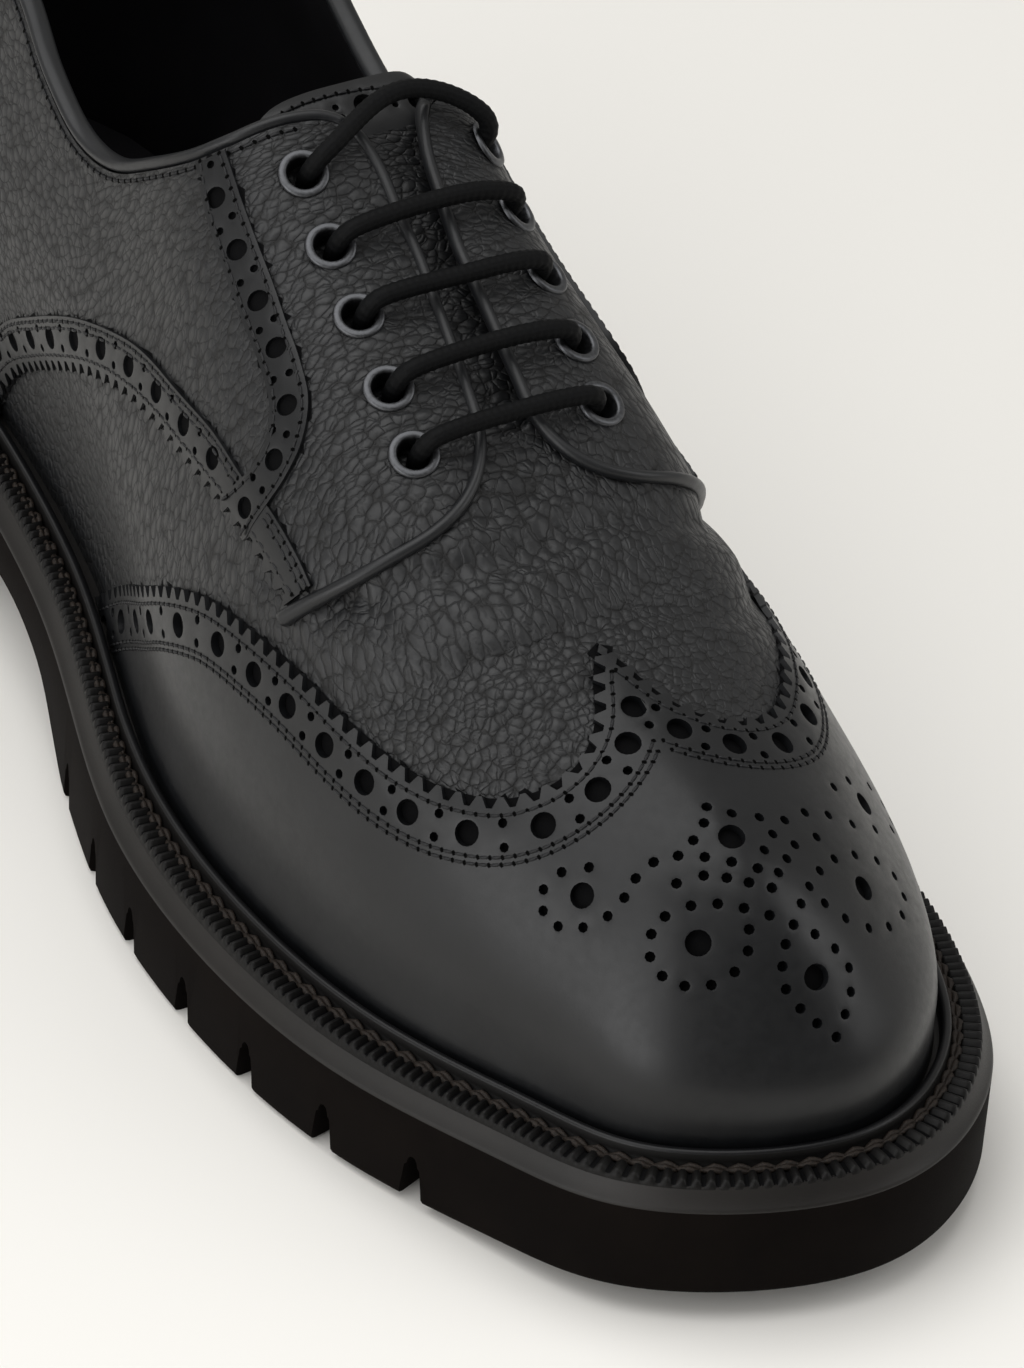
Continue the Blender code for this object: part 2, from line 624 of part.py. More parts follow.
def outward(mesh):
    """Turn every face of a closed mesh outward."""
    bm = bmesh.new()
    bm.from_mesh(mesh)
    bmesh.ops.recalc_face_normals(bm, faces=bm.faces)
    bm.to_mesh(mesh)
    bm.free()
    return mesh


def box_cutter(group, name, at, size, turn):
    bm = bmesh.new()
    bmesh.ops.create_cube(bm, size=1.0)
    bmesh.ops.scale(bm, vec=size, verts=bm.verts)
    mesh = bpy.data.meshes.new(name)
    bm.to_mesh(mesh)
    bm.free()
    ob = bpy.data.objects.new(name, mesh)
    ob.location = at
    ob.rotation_euler = (0, 0, turn)
    group.objects.link(ob)
    ob.hide_render = True
    ob.display_type = "WIRE"
    return ob


def cut_by(ob, group):
    cut = ob.modifiers.new("cuts", "BOOLEAN")
    cut.operand_type = "COLLECTION"
    cut.collection = group
    cut.solver = "EXACT"


def at_share(s, side):
    """Outline point and outward normal at a share on one side."""
    P = sole_outline(1440)
    n = plan_normals(P)
    on = np.where((P[:, 0] < 0) == (side < 0))[0]
    i = on[np.abs(share(P[on]) - s).argmin()]
    return P[i], n[i]


def underside(s):
    """Height of the outsole's underside at a share along the sole."""
    heel = through(s, UNDERSIDE, 1) * (HEEL_HEIGHT + SEAT_GAP)
    toe = through(s, UNDERSIDE, 2) * TOE_SPRING
    return np.maximum(heel + toe, 0.0)


for ob in list(bpy.data.objects):
    bpy.data.objects.remove(ob, do_unlink=True)
SHOE = collection("brogue_shoe")
CUTTERS = collection("sole_cutters")
HEEL_CUTTERS = collection("heel_cutters")
LOOKS = {name: material(name) for name in COLOURS}

# Upper, quarters, wing cap, strips and bands, all cut from one net of triangles
loops = [opening] + holes + [outlines[k] for k in outlines if k != "tongue"]
flat, faces = triangulate(loops, foot)
middle = flat[faces].mean(1)
part_of = {k: inside(middle, outlines[k]) for k in outlines}
in_opening = inside(middle, opening)
in_hole = np.zeros(len(faces), bool)
for hole in holes:
    in_hole |= inside(middle, hole)
leather("upper", flat, faces[~in_opening & ~in_hole], 0.0, -WALL, "pebbled")
leather("wing_cap", flat, faces[part_of["wing_cap"]], GAP, OVERLAY, "polished")
in_quarter = {}
for name in ("lateral", "medial"):
    piece = part_of["quarter_" + name] & ~in_hole
    in_quarter[name] = piece
    moved = drawn_in(flat, faces[piece], 0.2)
    leather("quarter_" + name, moved, faces[piece], GAP, OVERLAY, "pebbled")
above = 2 * GAP + OVERLAY
for name in ("lateral", "medial"):
    strip = part_of["strip_" + name] & part_of["quarter_" + name]
    band = part_of["band_" + name] & ~strip
    ahead = band & (middle[:, 1] < STRIP_FRONT[-4][1] * SOLE_LENGTH / MM)
    for piece, kind in ((strip, "strip_"), (band & ~ahead, "band_"), (ahead, "band_end_")):
        moved = drawn_in(flat, faces[piece], 0.25)
        leather(kind + name, moved, faces[piece], above, TRIM, "polished")

# Tongue, under the facings
tongue_flat, tongue_faces = triangulate([], outlines["tongue"])
leather("tongue", tongue_flat, tongue_faces, -WALL - TONGUE_DROP, -TONGUE_THICK, "pebbled")

# Rolled collar edge and piped facing edges
middle_level = (GAP + OVERLAY - WALL) / 2
clear = COLLAR_TUBE / 2 + 1.1
rim = np.concatenate([on_side(COLLAR_LATERAL[1:], -1, 2.0), on_side(COLLAR_MEDIAL[1:], 1, 2.0)[-2::-1]])
rim = shifted(rim, -clear)
rim, _ = form.place(rim, middle_level)
tube("collar_binding", smooth_line(rim, 8.0), COLLAR_TUBE, "polished")
for side, name in ((-1, "lateral"), (1, "medial")):
    edge = on_side(FACING, side, 1.5)
    edge = shifted(edge, -side * (PIPING / 2 + GAP))[4:-2]
    points, _ = form.place(edge, GAP + PIPING / 2)
    tube("piping_" + name, smooth_line(points, 5.5), PIPING, "polished")

# Eyelets and lace bars
for side, name in ((-1, "lateral"), (1, "medial")):
    for number, along in enumerate(EYELETS, 1):
        at, normal = form.place([eyelet_at(side, along)], GAP + OVERLAY + EYELET_WIRE / 2)
        bpy.ops.mesh.primitive_torus_add(major_segments=12, minor_segments=4,
                                         major_radius=EYELET_RING * MM, minor_radius=EYELET_WIRE / 2 * MM)
        ring_ob = bpy.context.object
        ring_ob.name = "eyelet_%s_%d" % (name, number)
        ring_ob.data.transform(Matrix.Scale(0.6, 4, (0, 0, 1)))
        ring_ob.data.materials.append(LOOKS["metal"])
        ring_ob.location = at[0]
        ring_ob.rotation_euler = Vector(normal[0]).to_track_quat("Z", "Y").to_euler()
        for home in ring_ob.users_collection:
            home.objects.unlink(ring_ob)
        SHOE.objects.link(ring_ob)
# Lace bar, from one eyelet to the middle: share of the half bar, share of the bar's height
LACE_HEIGHT = GAP + OVERLAY + CORD / 2 + 2.25
LACE = [
    (0, -0.167), (0, 0.352), (0.045, 0.741), (0.15, 0.944), (0.35, 0.981), (0.7, 1.0), (1.0, 1.0),
]
for number, along in enumerate(EYELETS, 1):
    half = np.array(LACE)
    across = np.concatenate([-1 + half[:, 0], 1 - half[-2::-1, 0]]) * across_mm(EYELET_ACROSS)
    up = np.concatenate([half[:, 1], half[-2::-1, 1]]) * LACE_HEIGHT
    level_at = along * SOLE_LENGTH / MM
    line = np.stack([across + float(centre(level_at)), np.full(len(across), level_at)], 1)
    dense = np.linspace(0, len(line) - 1, 60)
    index = np.arange(len(line))
    line = np.stack([np.interp(dense, index, line[:, i]) for i in (0, 1)], 1)
    points, _ = form.place(line, np.interp(dense, index, up))
    tube("lace_%d" % number, smooth_line(points, 2.6), CORD, "cord")

# Insole
count = 22
insole = ring(form.feather - plan_normals(form.feather) * (WALL + 0.6) * MM, count)
rings = [np.c_[insole, sole_top(share(insole)) + h * MM] for h in (0.0, INSOLE_THICK)]
add("insole", outward(mesh_of("insole", *stack(rings))), "lining")

# Outsole, bottom ring first
count = 30
edge = sole_outline(1440)
wide = ring(edge, count)
narrow = ring(edge - plan_normals(edge) * BEVEL_IN * MM, count)
top = sole_top(share(wide)) - GAP * MM
rings = [
    np.c_[wide, underside(share(wide)) * MM],
    np.c_[wide, top - BEVEL_DOWN * MM],
    np.c_[narrow, sole_top(share(narrow)) - GAP * MM],
]
outsole = add("outsole", outward(mesh_of("outsole", *stack(rings))), "sole")
for side in (-1, 1):
    for number, s in enumerate(SLOTS):
        p, n = at_share(s, side)
        under = float(underside(np.array([s]))[0])
        at = (p[0], p[1], (under + LUG_HEIGHT - 15) * MM)
        size = (2 * LUG_DEPTH * MM, SLOT_WIDTH * MM, 30 * MM)
        box_cutter(CUTTERS, "slot_%d_%d" % (side + 1, number), at, size, math.atan2(n[1], n[0]))

# Groove inside the edge lugs, and bars that part the middle lugs
GROOVE = (12.0, 16.0, 5.0)
RUNGS = 36
loops_in = []
for inset_mm, start in ((GROOVE[0], 0.500), (GROOVE[1], 0.514)):
    line = evenly(edge - plan_normals(edge) * inset_mm * MM, 1440)
    line = line[share(line) > start] if share(line[0]) > start else line
    front = line[:, 1].argmin()
    line = np.roll(line, -front, 0)
    loops_in.append(evenly(line, RUNGS))
points = []
for i in range(RUNGS):
    for loop, high in ((0, False), (1, False), (1, True), (0, True)):
        p = loops_in[loop][i]
        under = float(underside(share(p)))
        points.append((p[0], p[1], (under + GROOVE[2] if high else -15.0) * MM))
faces = [(i*4 + j, ((i + 1) % RUNGS)*4 + j, ((i + 1) % RUNGS)*4 + (j + 1) % 4, i*4 + (j + 1) % 4)
         for i in range(RUNGS) for j in range(4)]
groove = bpy.data.objects.new("groove", outward(mesh_of("groove", points, faces)))
CUTTERS.objects.link(groove)
groove.hide_render = True
groove.display_type = "WIRE"
for number, s in enumerate((0.577, 0.646, 0.716, 0.786, 0.856)):
    at = (0.018 * BALL_WIDTH, (0.5 - s) * SOLE_LENGTH, (float(underside(s)) + GROOVE[2] - 15) * MM)
    width = (0.48 if s < 0.85 else 0.36) * BALL_WIDTH
    box_cutter(CUTTERS, "bar_%d" % number, at, (width, 4.2 * MM, 30 * MM), 0.0)

# Heel block under the rear of the outsole
back = edge[share(edge) < HEEL_BREAST]
first = back[:, 1].argmax()
block = evenly(edge - plan_normals(edge) * 0.4 * MM, 1440)
block = block[share(block) < HEEL_BREAST]
block = evenly(block, 34, closed=False)
base = [np.r_[p, 0.0] for p in block]
crown = [np.r_[p, (HEEL_HEIGHT) * MM] for p in block]
n = len(block)
heel_faces = [tuple(range(n))[::-1], tuple(range(n, 2 * n))]
heel_faces += [(i, (i + 1) % n, n + (i + 1) % n, n + i) for i in range(n)]
add("heel", outward(mesh_of("heel", base + crown, heel_faces)), "sole")
for side in (-1, 1):
    for number, s in enumerate(HEEL_SLOTS):
        p, n = at_share(s, side)
        at = (p[0], p[1], (LUG_HEIGHT - 15) * MM)
        size = (2 * LUG_DEPTH * MM, SLOT_WIDTH * MM, 30 * MM)
        box_cutter(HEEL_CUTTERS, "heel_slot_%d_%d" % (side + 1, number), at, size, math.atan2(n[1], n[0]))
cut_by(outsole, CUTTERS)
cut_by(bpy.data.objects["heel"], HEEL_CUTTERS)

# Storm welt, a ring round the upper's foot
around = 54
foot_line = evenly(form.feather, around)
out_line = evenly(edge - plan_normals(edge) * BEVEL_IN * MM, 1440)
normals = plan_normals(foot_line)
reach = np.array([np.linalg.norm(out_line - p, axis=1).min() for p in foot_line]) / MM
points = []
for d, h in [(0, 0)] + WELT_TOP + [(1, 0)]:
    near = WELT_START + d * (WELT_WIDTH - WELT_START)
    far = reach - 0.1 if d == 1 else np.full(around, near)
    xy = foot_line + normals * (far * MM)[:, None]
    points.append(np.c_[xy, sole_top(share(xy)) + h * RIB_HEIGHT * MM])
k = len(points)
points = np.stack(points, 1).reshape(-1, 3)
faces = [(i*k + j, ((i + 1) % around)*k + j, ((i + 1) % around)*k + (j + 1) % k, i*k + (j + 1) % k)
         for i in range(around) for j in range(k)]
add("welt", outward(mesh_of("welt", points, faces)), "welt")

for ob in SHOE.objects:
    if ob.type == "MESH" and ob.name.startswith("eyelet"):
        ob.data.shade_smooth()
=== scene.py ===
"""Looks of a black full-brogue derby shoe with a lug sole, right foot.

The leather pieces are drawn on the last's flat pattern (millimetres: across, along) and carried
onto the last, with their perforations, gimped edges, stitches and creases.
"""
import math

import bmesh
import bpy
import numpy as np
from mathutils import Matrix, Vector
from mathutils.bvhtree import BVHTree
from mathutils.geometry import delaunay_2d_cdt
from mathutils.kdtree import KDTree


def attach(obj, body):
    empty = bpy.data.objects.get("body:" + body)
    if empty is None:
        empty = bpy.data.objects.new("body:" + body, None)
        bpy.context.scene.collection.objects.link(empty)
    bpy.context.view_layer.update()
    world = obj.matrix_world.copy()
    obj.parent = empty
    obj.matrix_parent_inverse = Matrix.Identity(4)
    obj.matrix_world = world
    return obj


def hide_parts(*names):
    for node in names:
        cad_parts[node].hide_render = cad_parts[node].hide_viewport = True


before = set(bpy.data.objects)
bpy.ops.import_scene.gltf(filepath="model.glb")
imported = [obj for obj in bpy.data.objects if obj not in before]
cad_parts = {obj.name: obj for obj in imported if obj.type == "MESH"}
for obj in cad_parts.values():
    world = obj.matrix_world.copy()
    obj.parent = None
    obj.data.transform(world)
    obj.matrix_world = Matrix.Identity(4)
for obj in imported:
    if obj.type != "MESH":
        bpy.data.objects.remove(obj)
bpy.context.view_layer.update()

MM = 0.001
SOLE_LENGTH = 0.308
BALL_WIDTH = 0.112

# share from the heel back, lateral half width, medial half width (shares of the ball width)
OUTLINE = [
    (0.04, 0.215, 0.245), (0.14, 0.312, 0.345), (0.27, 0.330, 0.350),
    (0.42, 0.368, 0.335), (0.56, 0.470, 0.400), (0.69, 0.493, 0.463),
    (0.80, 0.445, 0.468), (0.89, 0.352, 0.408), (0.955, 0.252, 0.300),
]
TOE_TIP = 0.058
HEEL_SEAT = 36.0
TREAD = 20.0
TOE_SPRING = 6.0
INSTEP_HEIGHT = 103.0
WELT_WIDTH = 8.7
SWELL = 3.0
# share, height of the sole's top over the tread: shares of the heel's lift and of the toe spring
SOLE_TOP = [
    (0, 1.0, 0), (0.2, 0.94, 0), (0.4, 0.406, 0), (0.6, 0.012, 0), (0.75, 0, 0),
    (0.88, 0, 0.333), (1, 0, 0.917),
]
# share, distance from the sole's edge in to the upper's foot (shares of the welt's width)
INSET = [
    (0, 1.000), (0.2, 1.000), (0.4, 1.172), (0.6, 1.402), (1, 1.460),
]
# share, ridge height over the sole's top (share of the instep's height), shift to the medial side
# (share of the ball width), plan roundness, height roundness
RIDGE = [
    (0, 1.000, 0, 2.9, 2), (0.2, 1.000, 0.018, 3.6, 2.2), (0.35, 1.000, 0.031, 4.5, 2.6),
    (0.46, 0.951, 0.036, 4.6, 2.5), (0.54, 0.835, 0.022, 4, 2.35), (0.62, 0.738, 0, 3.8, 2.3),
    (0.7, 0.615, -0.022, 3.2, 2.3), (0.78, 0.505, -0.036, 2.4, 2.3),
    (0.86, 0.417, -0.022, 2.3, 2.1), (0.93, 0.340, -0.009, 2.3, 1.9), (1, 0.291, -0.009, 2.3, 1.7),
]
POLE_TOE = 0.865
POLE_HEEL = 0.13
# share, how far the upper swells past its foot on the lateral and medial side (shares of the swell)
BULGE = [
    (0, 1.000, 1.000), (0.25, 1.167, 1.500), (0.42, 1.167, 2.000), (0.58, 0.450, 1.667),
    (0.75, 0.300, 1.000), (0.90, 0.550, 0.900), (1, 0.900, 0.900),
]
BULGE_AT = 0.20


def closed_curve(points, count):
    """Smooth closed curve through the points, sampled evenly in its parameter."""
    P = np.asarray(points, float)
    m = len(P)
    h = np.linalg.norm(np.roll(P, -1, 0) - P, axis=1) ** 0.5
    t = np.concatenate([[0], np.cumsum(h)])
    A = np.zeros((m, m))
    B = np.zeros((m, P.shape[1]))
    for i in range(m):
        hm, hp = h[i - 1], h[i]
        A[i, i - 1] += hp
        A[i, i] += 2 * (hm + hp)
        A[i, (i + 1) % m] += hm
        B[i] = 3 * (hp * (P[i] - P[i - 1]) / hm + hm * (P[(i + 1) % m] - P[i]) / hp)
    M = np.linalg.solve(A, B)
    u = np.linspace(0, t[-1], count, endpoint=False)
    k = np.clip(np.searchsorted(t, u, side="right") - 1, 0, m - 1)
    x = ((u - t[k]) / h[k])[:, None]
    hh = h[k][:, None]
    a, b = P[k], P[(k + 1) % m]
    return ((2*x**3 - 3*x**2 + 1)*a + (x**3 - 2*x**2 + x)*hh*M[k]
            + (-2*x**3 + 3*x**2)*b + (x**3 - x**2)*hh*M[(k + 1) % m])


def through(x, rows, column=1):
    """Smooth value of one column of a table at x."""
    R = np.asarray(rows, float)
    xs, ys = R[:, 0], R[:, column]
    h = np.diff(xs)
    d = np.diff(ys) / h
    m = np.zeros(len(xs))
    m[1:-1] = (d[:-1]*h[1:] + d[1:]*h[:-1]) / (h[:-1] + h[1:])
    m[0], m[-1] = d[0], d[-1]
    x = np.clip(x, xs[0], xs[-1])
    k = np.clip(np.searchsorted(xs, x, side="right") - 1, 0, len(xs) - 2)
    t = (x - xs[k]) / h[k]
    return ((2*t**3 - 3*t**2 + 1)*ys[k] + (t**3 - 2*t**2 + t)*h[k]*m[k]
            + (-2*t**3 + 3*t**2)*ys[k + 1] + (t**3 - t**2)*h[k]*m[k + 1])


def evenly(P, count, closed=True):
    """A polyline resampled at equal steps."""
    P = np.asarray(P, float)
    Q = np.vstack([P, P[:1]]) if closed else P
    d = np.r_[0, np.cumsum(np.linalg.norm(np.diff(Q, axis=0), axis=1))]
    u = np.linspace(0, d[-1], count, endpoint=not closed)
    return np.stack([np.interp(u, d, Q[:, i]) for i in range(Q.shape[1])], 1)


def share(P):
    return 0.5 - P[..., 1] / SOLE_LENGTH


def sole_top(s):
    heel = through(s, SOLE_TOP, 1) * (HEEL_SEAT - TREAD)
    toe = through(s, SOLE_TOP, 2) * TOE_SPRING
    return (TREAD + heel + toe) * MM


def across_mm(column):
    return column * BALL_WIDTH / MM


def plan_normals(P):
    t = np.roll(P, -1, 0) - np.roll(P, 1, 0)
    t /= np.linalg.norm(t, axis=1)[:, None]
    n = np.stack([t[:, 1], -t[:, 0]], 1)
    return n * np.sign(((P - P.mean(0)) * n).sum())


def sole_outline(count):
    """Outsole outline in plan, from the toe tip round the lateral side."""
    lateral = [(-BALL_WIDTH*l, s*SOLE_LENGTH) for s, l, m in OUTLINE][::-1]
    medial = [(BALL_WIDTH*m, s*SOLE_LENGTH) for s, l, m in OUTLINE]
    points = [(BALL_WIDTH*TOE_TIP, SOLE_LENGTH)] + lateral + [(0, 0)] + medial
    Q = closed_curve(points, 4 * count)
    Q = np.stack([Q[:, 0], SOLE_LENGTH/2 - Q[:, 1]], 1)
    return evenly(Q, count)


class Form:
    """The last's surface and its flat pattern (millimetres: across, along)."""

    def __init__(self, around, down):
        out = sole_outline(around)
        n = plan_normals(out)
        feather = evenly(out - n * (through(share(out), INSET) * WELT_WIDTH * MM)[:, None], around)
        nf = plan_normals(feather)
        sf = share(feather)
        st = POLE_HEEL + (POLE_TOE - POLE_HEEL) * (sf - sf.min()) / (sf.max() - sf.min())
        T = np.stack([through(st, RIDGE, 2) * BALL_WIDTH, (0.5 - st) * SOLE_LENGTH], 1)
        v = 1 - (1 - np.linspace(0, 1, 500)) ** 1.5
        wide = through(st, RIDGE, 3)[:, None]
        tall = through(st, RIDGE, 4)[:, None]
        f = 1 - np.abs(np.cos(np.pi * v / 2))[None, :] ** (2 / wide)
        g = np.sin(np.pi * v / 2)[None, :] ** (2 / tall)
        side = 0.5 + 0.5 * np.tanh((feather[:, 0] - T[:, 0]) / (12 * MM))
        swell = through(sf, BULGE, 1) * (1 - side) + through(sf, BULGE, 2) * side
        b = swell[:, None] * SWELL * MM * ((v / BULGE_AT) ** 2 * np.exp(1 - (v / BULGE_AT) ** 2))[None, :]
        xy = feather[:, None] + (T - feather)[:, None] * f[..., None] + nf[:, None] * b[..., None]
        s = share(xy)
        low = sole_top(sf)[:, None]
        z = low + (through(s, RIDGE) * INSTEP_HEIGHT * MM + sole_top(s) - low) * g
        P = np.concatenate([xy, z[..., None]], 2)[:, ::-1]
        arc = np.linalg.norm(np.diff(P, axis=1), axis=2)
        arc = np.concatenate([np.zeros((around, 1)), np.cumsum(arc, 1)], 1)
        lam = np.linspace(0, 1, down + 1)
        G = np.empty((around, down + 1, 3))
        for i in range(around):
            for k in range(3):
                G[i, :, k] = np.interp(lam * arc[i, -1], arc[i], P[i, :, k])
        D = feather - T
        D /= np.linalg.norm(D, axis=1)[:, None]
        C = T[:, None] / MM + D[:, None] * (lam[None, :] * arc[:, -1:] / MM)[..., None]
        # The surface runs on straight down below the foot of the upper.
        drop = np.arange(1, 4) * 2.0
        C = np.concatenate([C, C[:, -1:] + D[:, None] * drop[None, :, None]], 1)
        below = np.repeat(G[:, -1:], 3, 1)
        below[..., 2] -= drop[None, :] * MM
        G = np.concatenate([G, below], 1)
        self.feather, self.down, self.C = feather, down, C
        self.flare = None
        cols = G.shape[1]
        i = np.arange(around)
        j = (i + 1) % around
        k = np.arange(cols - 1)
        a = (i[:, None] * cols + k).ravel()
        bq = (j[:, None] * cols + k).ravel()
        tris = np.concatenate([np.stack([a, bq, bq + 1], 1), np.stack([a, bq + 1, a + 1], 1)])
        self.flat = C.reshape(-1, 2)
        self.solid = G.reshape(-1, 3)
        p, q, r = (self.flat[tris[:, c]] for c in range(3))
        area = (q[:, 0]-p[:, 0])*(r[:, 1]-p[:, 1]) - (q[:, 1]-p[:, 1])*(r[:, 0]-p[:, 0])
        tris = tris[np.abs(area) > 1e-7]
        self.tris = tris
        verts = [(x, y, 0.0) for x, y in self.flat]
        self.tree = BVHTree.FromPolygons(verts, tris.tolist())

    def lift(self, flat):
        """Points of the pattern carried onto the last."""
        flat = np.asarray(flat, float)
        hit = np.array([self.tree.find_nearest(Vector((x, y, 0.0)))[2] for x, y in flat])
        t = self.tris[hit]
        p, q, r = self.flat[t[:, 0]], self.flat[t[:, 1]], self.flat[t[:, 2]]
        d = (q[:, 0]-p[:, 0])*(r[:, 1]-p[:, 1]) - (q[:, 1]-p[:, 1])*(r[:, 0]-p[:, 0])
        u = ((flat[:, 0]-p[:, 0])*(r[:, 1]-p[:, 1]) - (flat[:, 1]-p[:, 1])*(r[:, 0]-p[:, 0])) / d
        w = ((q[:, 0]-p[:, 0])*(flat[:, 1]-p[:, 1]) - (q[:, 1]-p[:, 1])*(flat[:, 0]-p[:, 0])) / d
        u, w = np.clip(u, -1, 2)[:, None], np.clip(w, -1, 2)[:, None]
        return self.solid[t[:, 0]]*(1-u-w) + self.solid[t[:, 1]]*u + self.solid[t[:, 2]]*w

    def place(self, flat, offset=0.0):
        """Points of the pattern on the last, lifted off it by offset (mm), and the normals there."""
        flat = np.asarray(flat, float)
        offset = np.zeros(len(flat)) + offset
        if self.flare:
            offset = offset + self.flare(flat)
        across = self.lift(flat + (1, 0)) - self.lift(flat - (1, 0))
        along = self.lift(flat + (0, 1)) - self.lift(flat - (0, 1))
        n = np.cross(across, along)
        n /= np.linalg.norm(n, axis=1)[:, None]
        return self.lift(flat) + n * offset[:, None] * MM, n


# Thicknesses and gaps (mm)
OVERLAY = 1.0
GAP = 0.4

# Sole (mm)
BEVEL_IN = 3.5
BEVEL_DOWN = 4.5
LUG_HEIGHT = 7.0
SLOT_WIDTH = 3.8
HEEL_HEIGHT = 16.5
SEAT_GAP = 0.3
HEEL_BREAST = 0.285
# share, height of the outsole's underside: shares of the heel's height and of the toe spring
UNDERSIDE = [
    (0.000, 1.0, 0), (0.285, 1.0, 0), (0.34, 0.94, 0), (0.39, 0.804, 0), (0.425, 0.565, 0),
    (0.450, 0.238, 0), (0.47, 0.036, 0), (0.50, 0, 0), (0.70, 0, 0), (0.85, 0, 0.25), (1.0, 0, 1.0),
]
SLOTS = [0.485, 0.548, 0.606, 0.666, 0.726, 0.785, 0.842]
HEEL_SLOTS = [0.10, 0.185]


# Facing edge: distance from the centre line, along (shares of the ball width and of the length)
FACING = [
    (0.062, 0.011), (0.046, -0.010), (0.043, -0.032), (0.039, -0.055), (0.042, -0.078),
    (0.044, -0.101), (0.047, -0.123), (0.052, -0.146), (0.074, -0.162), (0.112, -0.174),
    (0.165, -0.180), (0.232, -0.179), (0.308, -0.173), (0.379, -0.164), (0.443, -0.155),
]
# Collar from the facing's top to the back of the heel
COLLAR_LATERAL = [
    (0.062, 0.011), (0.085, 0.016), (0.125, 0.019), (0.192, 0.024), (0.223, 0.028), (0.286, 0.043),
    (0.366, 0.077), (0.433, 0.121), (0.452, 0.169), (0.420, 0.216), (0.373, 0.245), (0.339, 0.276),
    (0.321, 0.318), (0.295, 0.377), (0.241, 0.438), (0.134, 0.487), (0, 0.503),
]
COLLAR_MEDIAL = [
    (0.062, 0.011), (0.085, 0.015), (0.125, 0.017), (0.170, 0.020), (0.205, 0.028), (0.259, 0.049),
    (0.330, 0.084), (0.397, 0.127), (0.424, 0.172), (0.402, 0.218), (0.366, 0.250), (0.337, 0.282),
    (0.321, 0.321), (0.295, 0.377), (0.241, 0.438), (0.134, 0.487), (0, 0.503),
]
# Front of the base upper's throat
THROAT = [
    (0.071, 0.010), (0.057, -0.013), (0.054, -0.065), (0.059, -0.117), (0.054, -0.136),
    (0.032, -0.148), (0, -0.151),
]
# Wing edge from its peak to the sole
WING = [
    (0, -0.258), (0.029, -0.274), (0.049, -0.289), (0.071, -0.300), (0.112, -0.310),
    (0.161, -0.312), (0.223, -0.305), (0.290, -0.284), (0.341, -0.259), (0.391, -0.226),
    (0.443, -0.188), (0.509, -0.147), (0.583, -0.103), (0.636, -0.0786), (0.708, -0.050),
    (0.836, -0.003), (0.930, 0.037), (1.014, 0.080), (1.0875, 0.123), (1.170, 0.170),
]
# Curved band along the quarter's lower edge: top edge, then lower edge
BAND_TOP = [
    (0.3565, -0.1640), (0.359, -0.150), (0.375, -0.117), (0.395, -0.097), (0.424, -0.057), (0.503, 0.002),
    (0.594, 0.071), (0.668, 0.146), (0.728, 0.205), (0.799, 0.273), (0.875, 0.328), (0.964, 0.380),
    (1.071, 0.422),
]
BAND_LOW = [
    (0.4235, -0.1560), (0.427, -0.150), (0.450, -0.113), (0.489, -0.070), (0.552, -0.019), (0.650, 0.052),
    (0.746, 0.143), (0.817, 0.214), (0.893, 0.286), (0.964, 0.328), (1.071, 0.370),
]
# Strip down the quarter: rear edge, then front edge
STRIP_REAR = [
    (0.276, 0.037), (0.291, 0.019), (0.296, -0.003), (0.296, -0.026), (0.296, -0.049),
    (0.297, -0.070), (0.308, -0.086), (0.339, -0.096), (0.399, -0.094), (0.510, -0.073),
]
STRIP_FRONT = [
    (0.229, 0.027), (0.234, 0.003), (0.235, -0.016), (0.235, -0.039), (0.238, -0.058),
    (0.241, -0.080), (0.252, -0.099), (0.284, -0.112), (0.326, -0.117), (0.375, -0.117),
    (0.482, -0.112),
]
TONGUE = [
    (0, 0.039), (0.071, 0.037), (0.143, 0.032), (0.196, 0.020), (0.219, 0), (0.219, -0.065),
    (0.196, -0.130), (0.152, -0.162), (0.080, -0.179), (0, -0.182),
]
CORD = 3.5
EYELET_ACROSS = 0.146
EYELETS = [-0.003, -0.038, -0.075, -0.114, -0.147]
EYELET_HOLE = CORD + 2.1

form = Form(1200, 200)


def centre(along):
    """Across position of the pattern's centre line."""
    return across_mm(through(0.5 - np.asarray(along, float) * MM / SOLE_LENGTH, RIDGE, 2))


def on_side(rows, side, step):
    """A smooth line through (across, along) rows on one side, with a point every step (mm)."""
    P = np.array(rows, float) * (BALL_WIDTH / MM, SOLE_LENGTH / MM)
    h = np.linalg.norm(np.diff(P, axis=0), axis=1) ** 0.5
    t = np.concatenate([[0], np.cumsum(h)])
    u = np.linspace(0, t[-1], 400)
    Q = np.stack([through(u, np.stack([t, P[:, i]], 1)) for i in (0, 1)], 1)
    length = np.linalg.norm(np.diff(Q, axis=0), axis=1).sum()
    Q = evenly(Q, max(int(round(length / step)), 1) + 1, closed=False)
    Q[:, 0] = side * Q[:, 0] + centre(Q[:, 1])
    return Q


def inside(points, polygon):
    """Which points lie inside a closed polygon."""
    x, y = points[:, 0:1], points[:, 1:2]
    a, b = polygon, np.roll(polygon, -1, 0)
    spans = (a[:, 1] > y) != (b[:, 1] > y)
    rise = np.where(b[:, 1] == a[:, 1], 1e-9, b[:, 1] - a[:, 1])
    cross = (b[:, 0] - a[:, 0]) * (y - a[:, 1]) / rise + a[:, 0]
    return ((spans & (x < cross)).sum(1) % 2) == 1


def distance(points, starts, ends):
    """Distance from each point to the nearest of some segments."""
    d = ends - starts
    size = (d ** 2).sum(1) + 1e-12
    t = ((points[:, None] - starts) * d).sum(2) / size
    near = starts + np.clip(t, 0, 1)[..., None] * d
    return np.sqrt(((points[:, None] - near) ** 2).sum(2)).min(1)


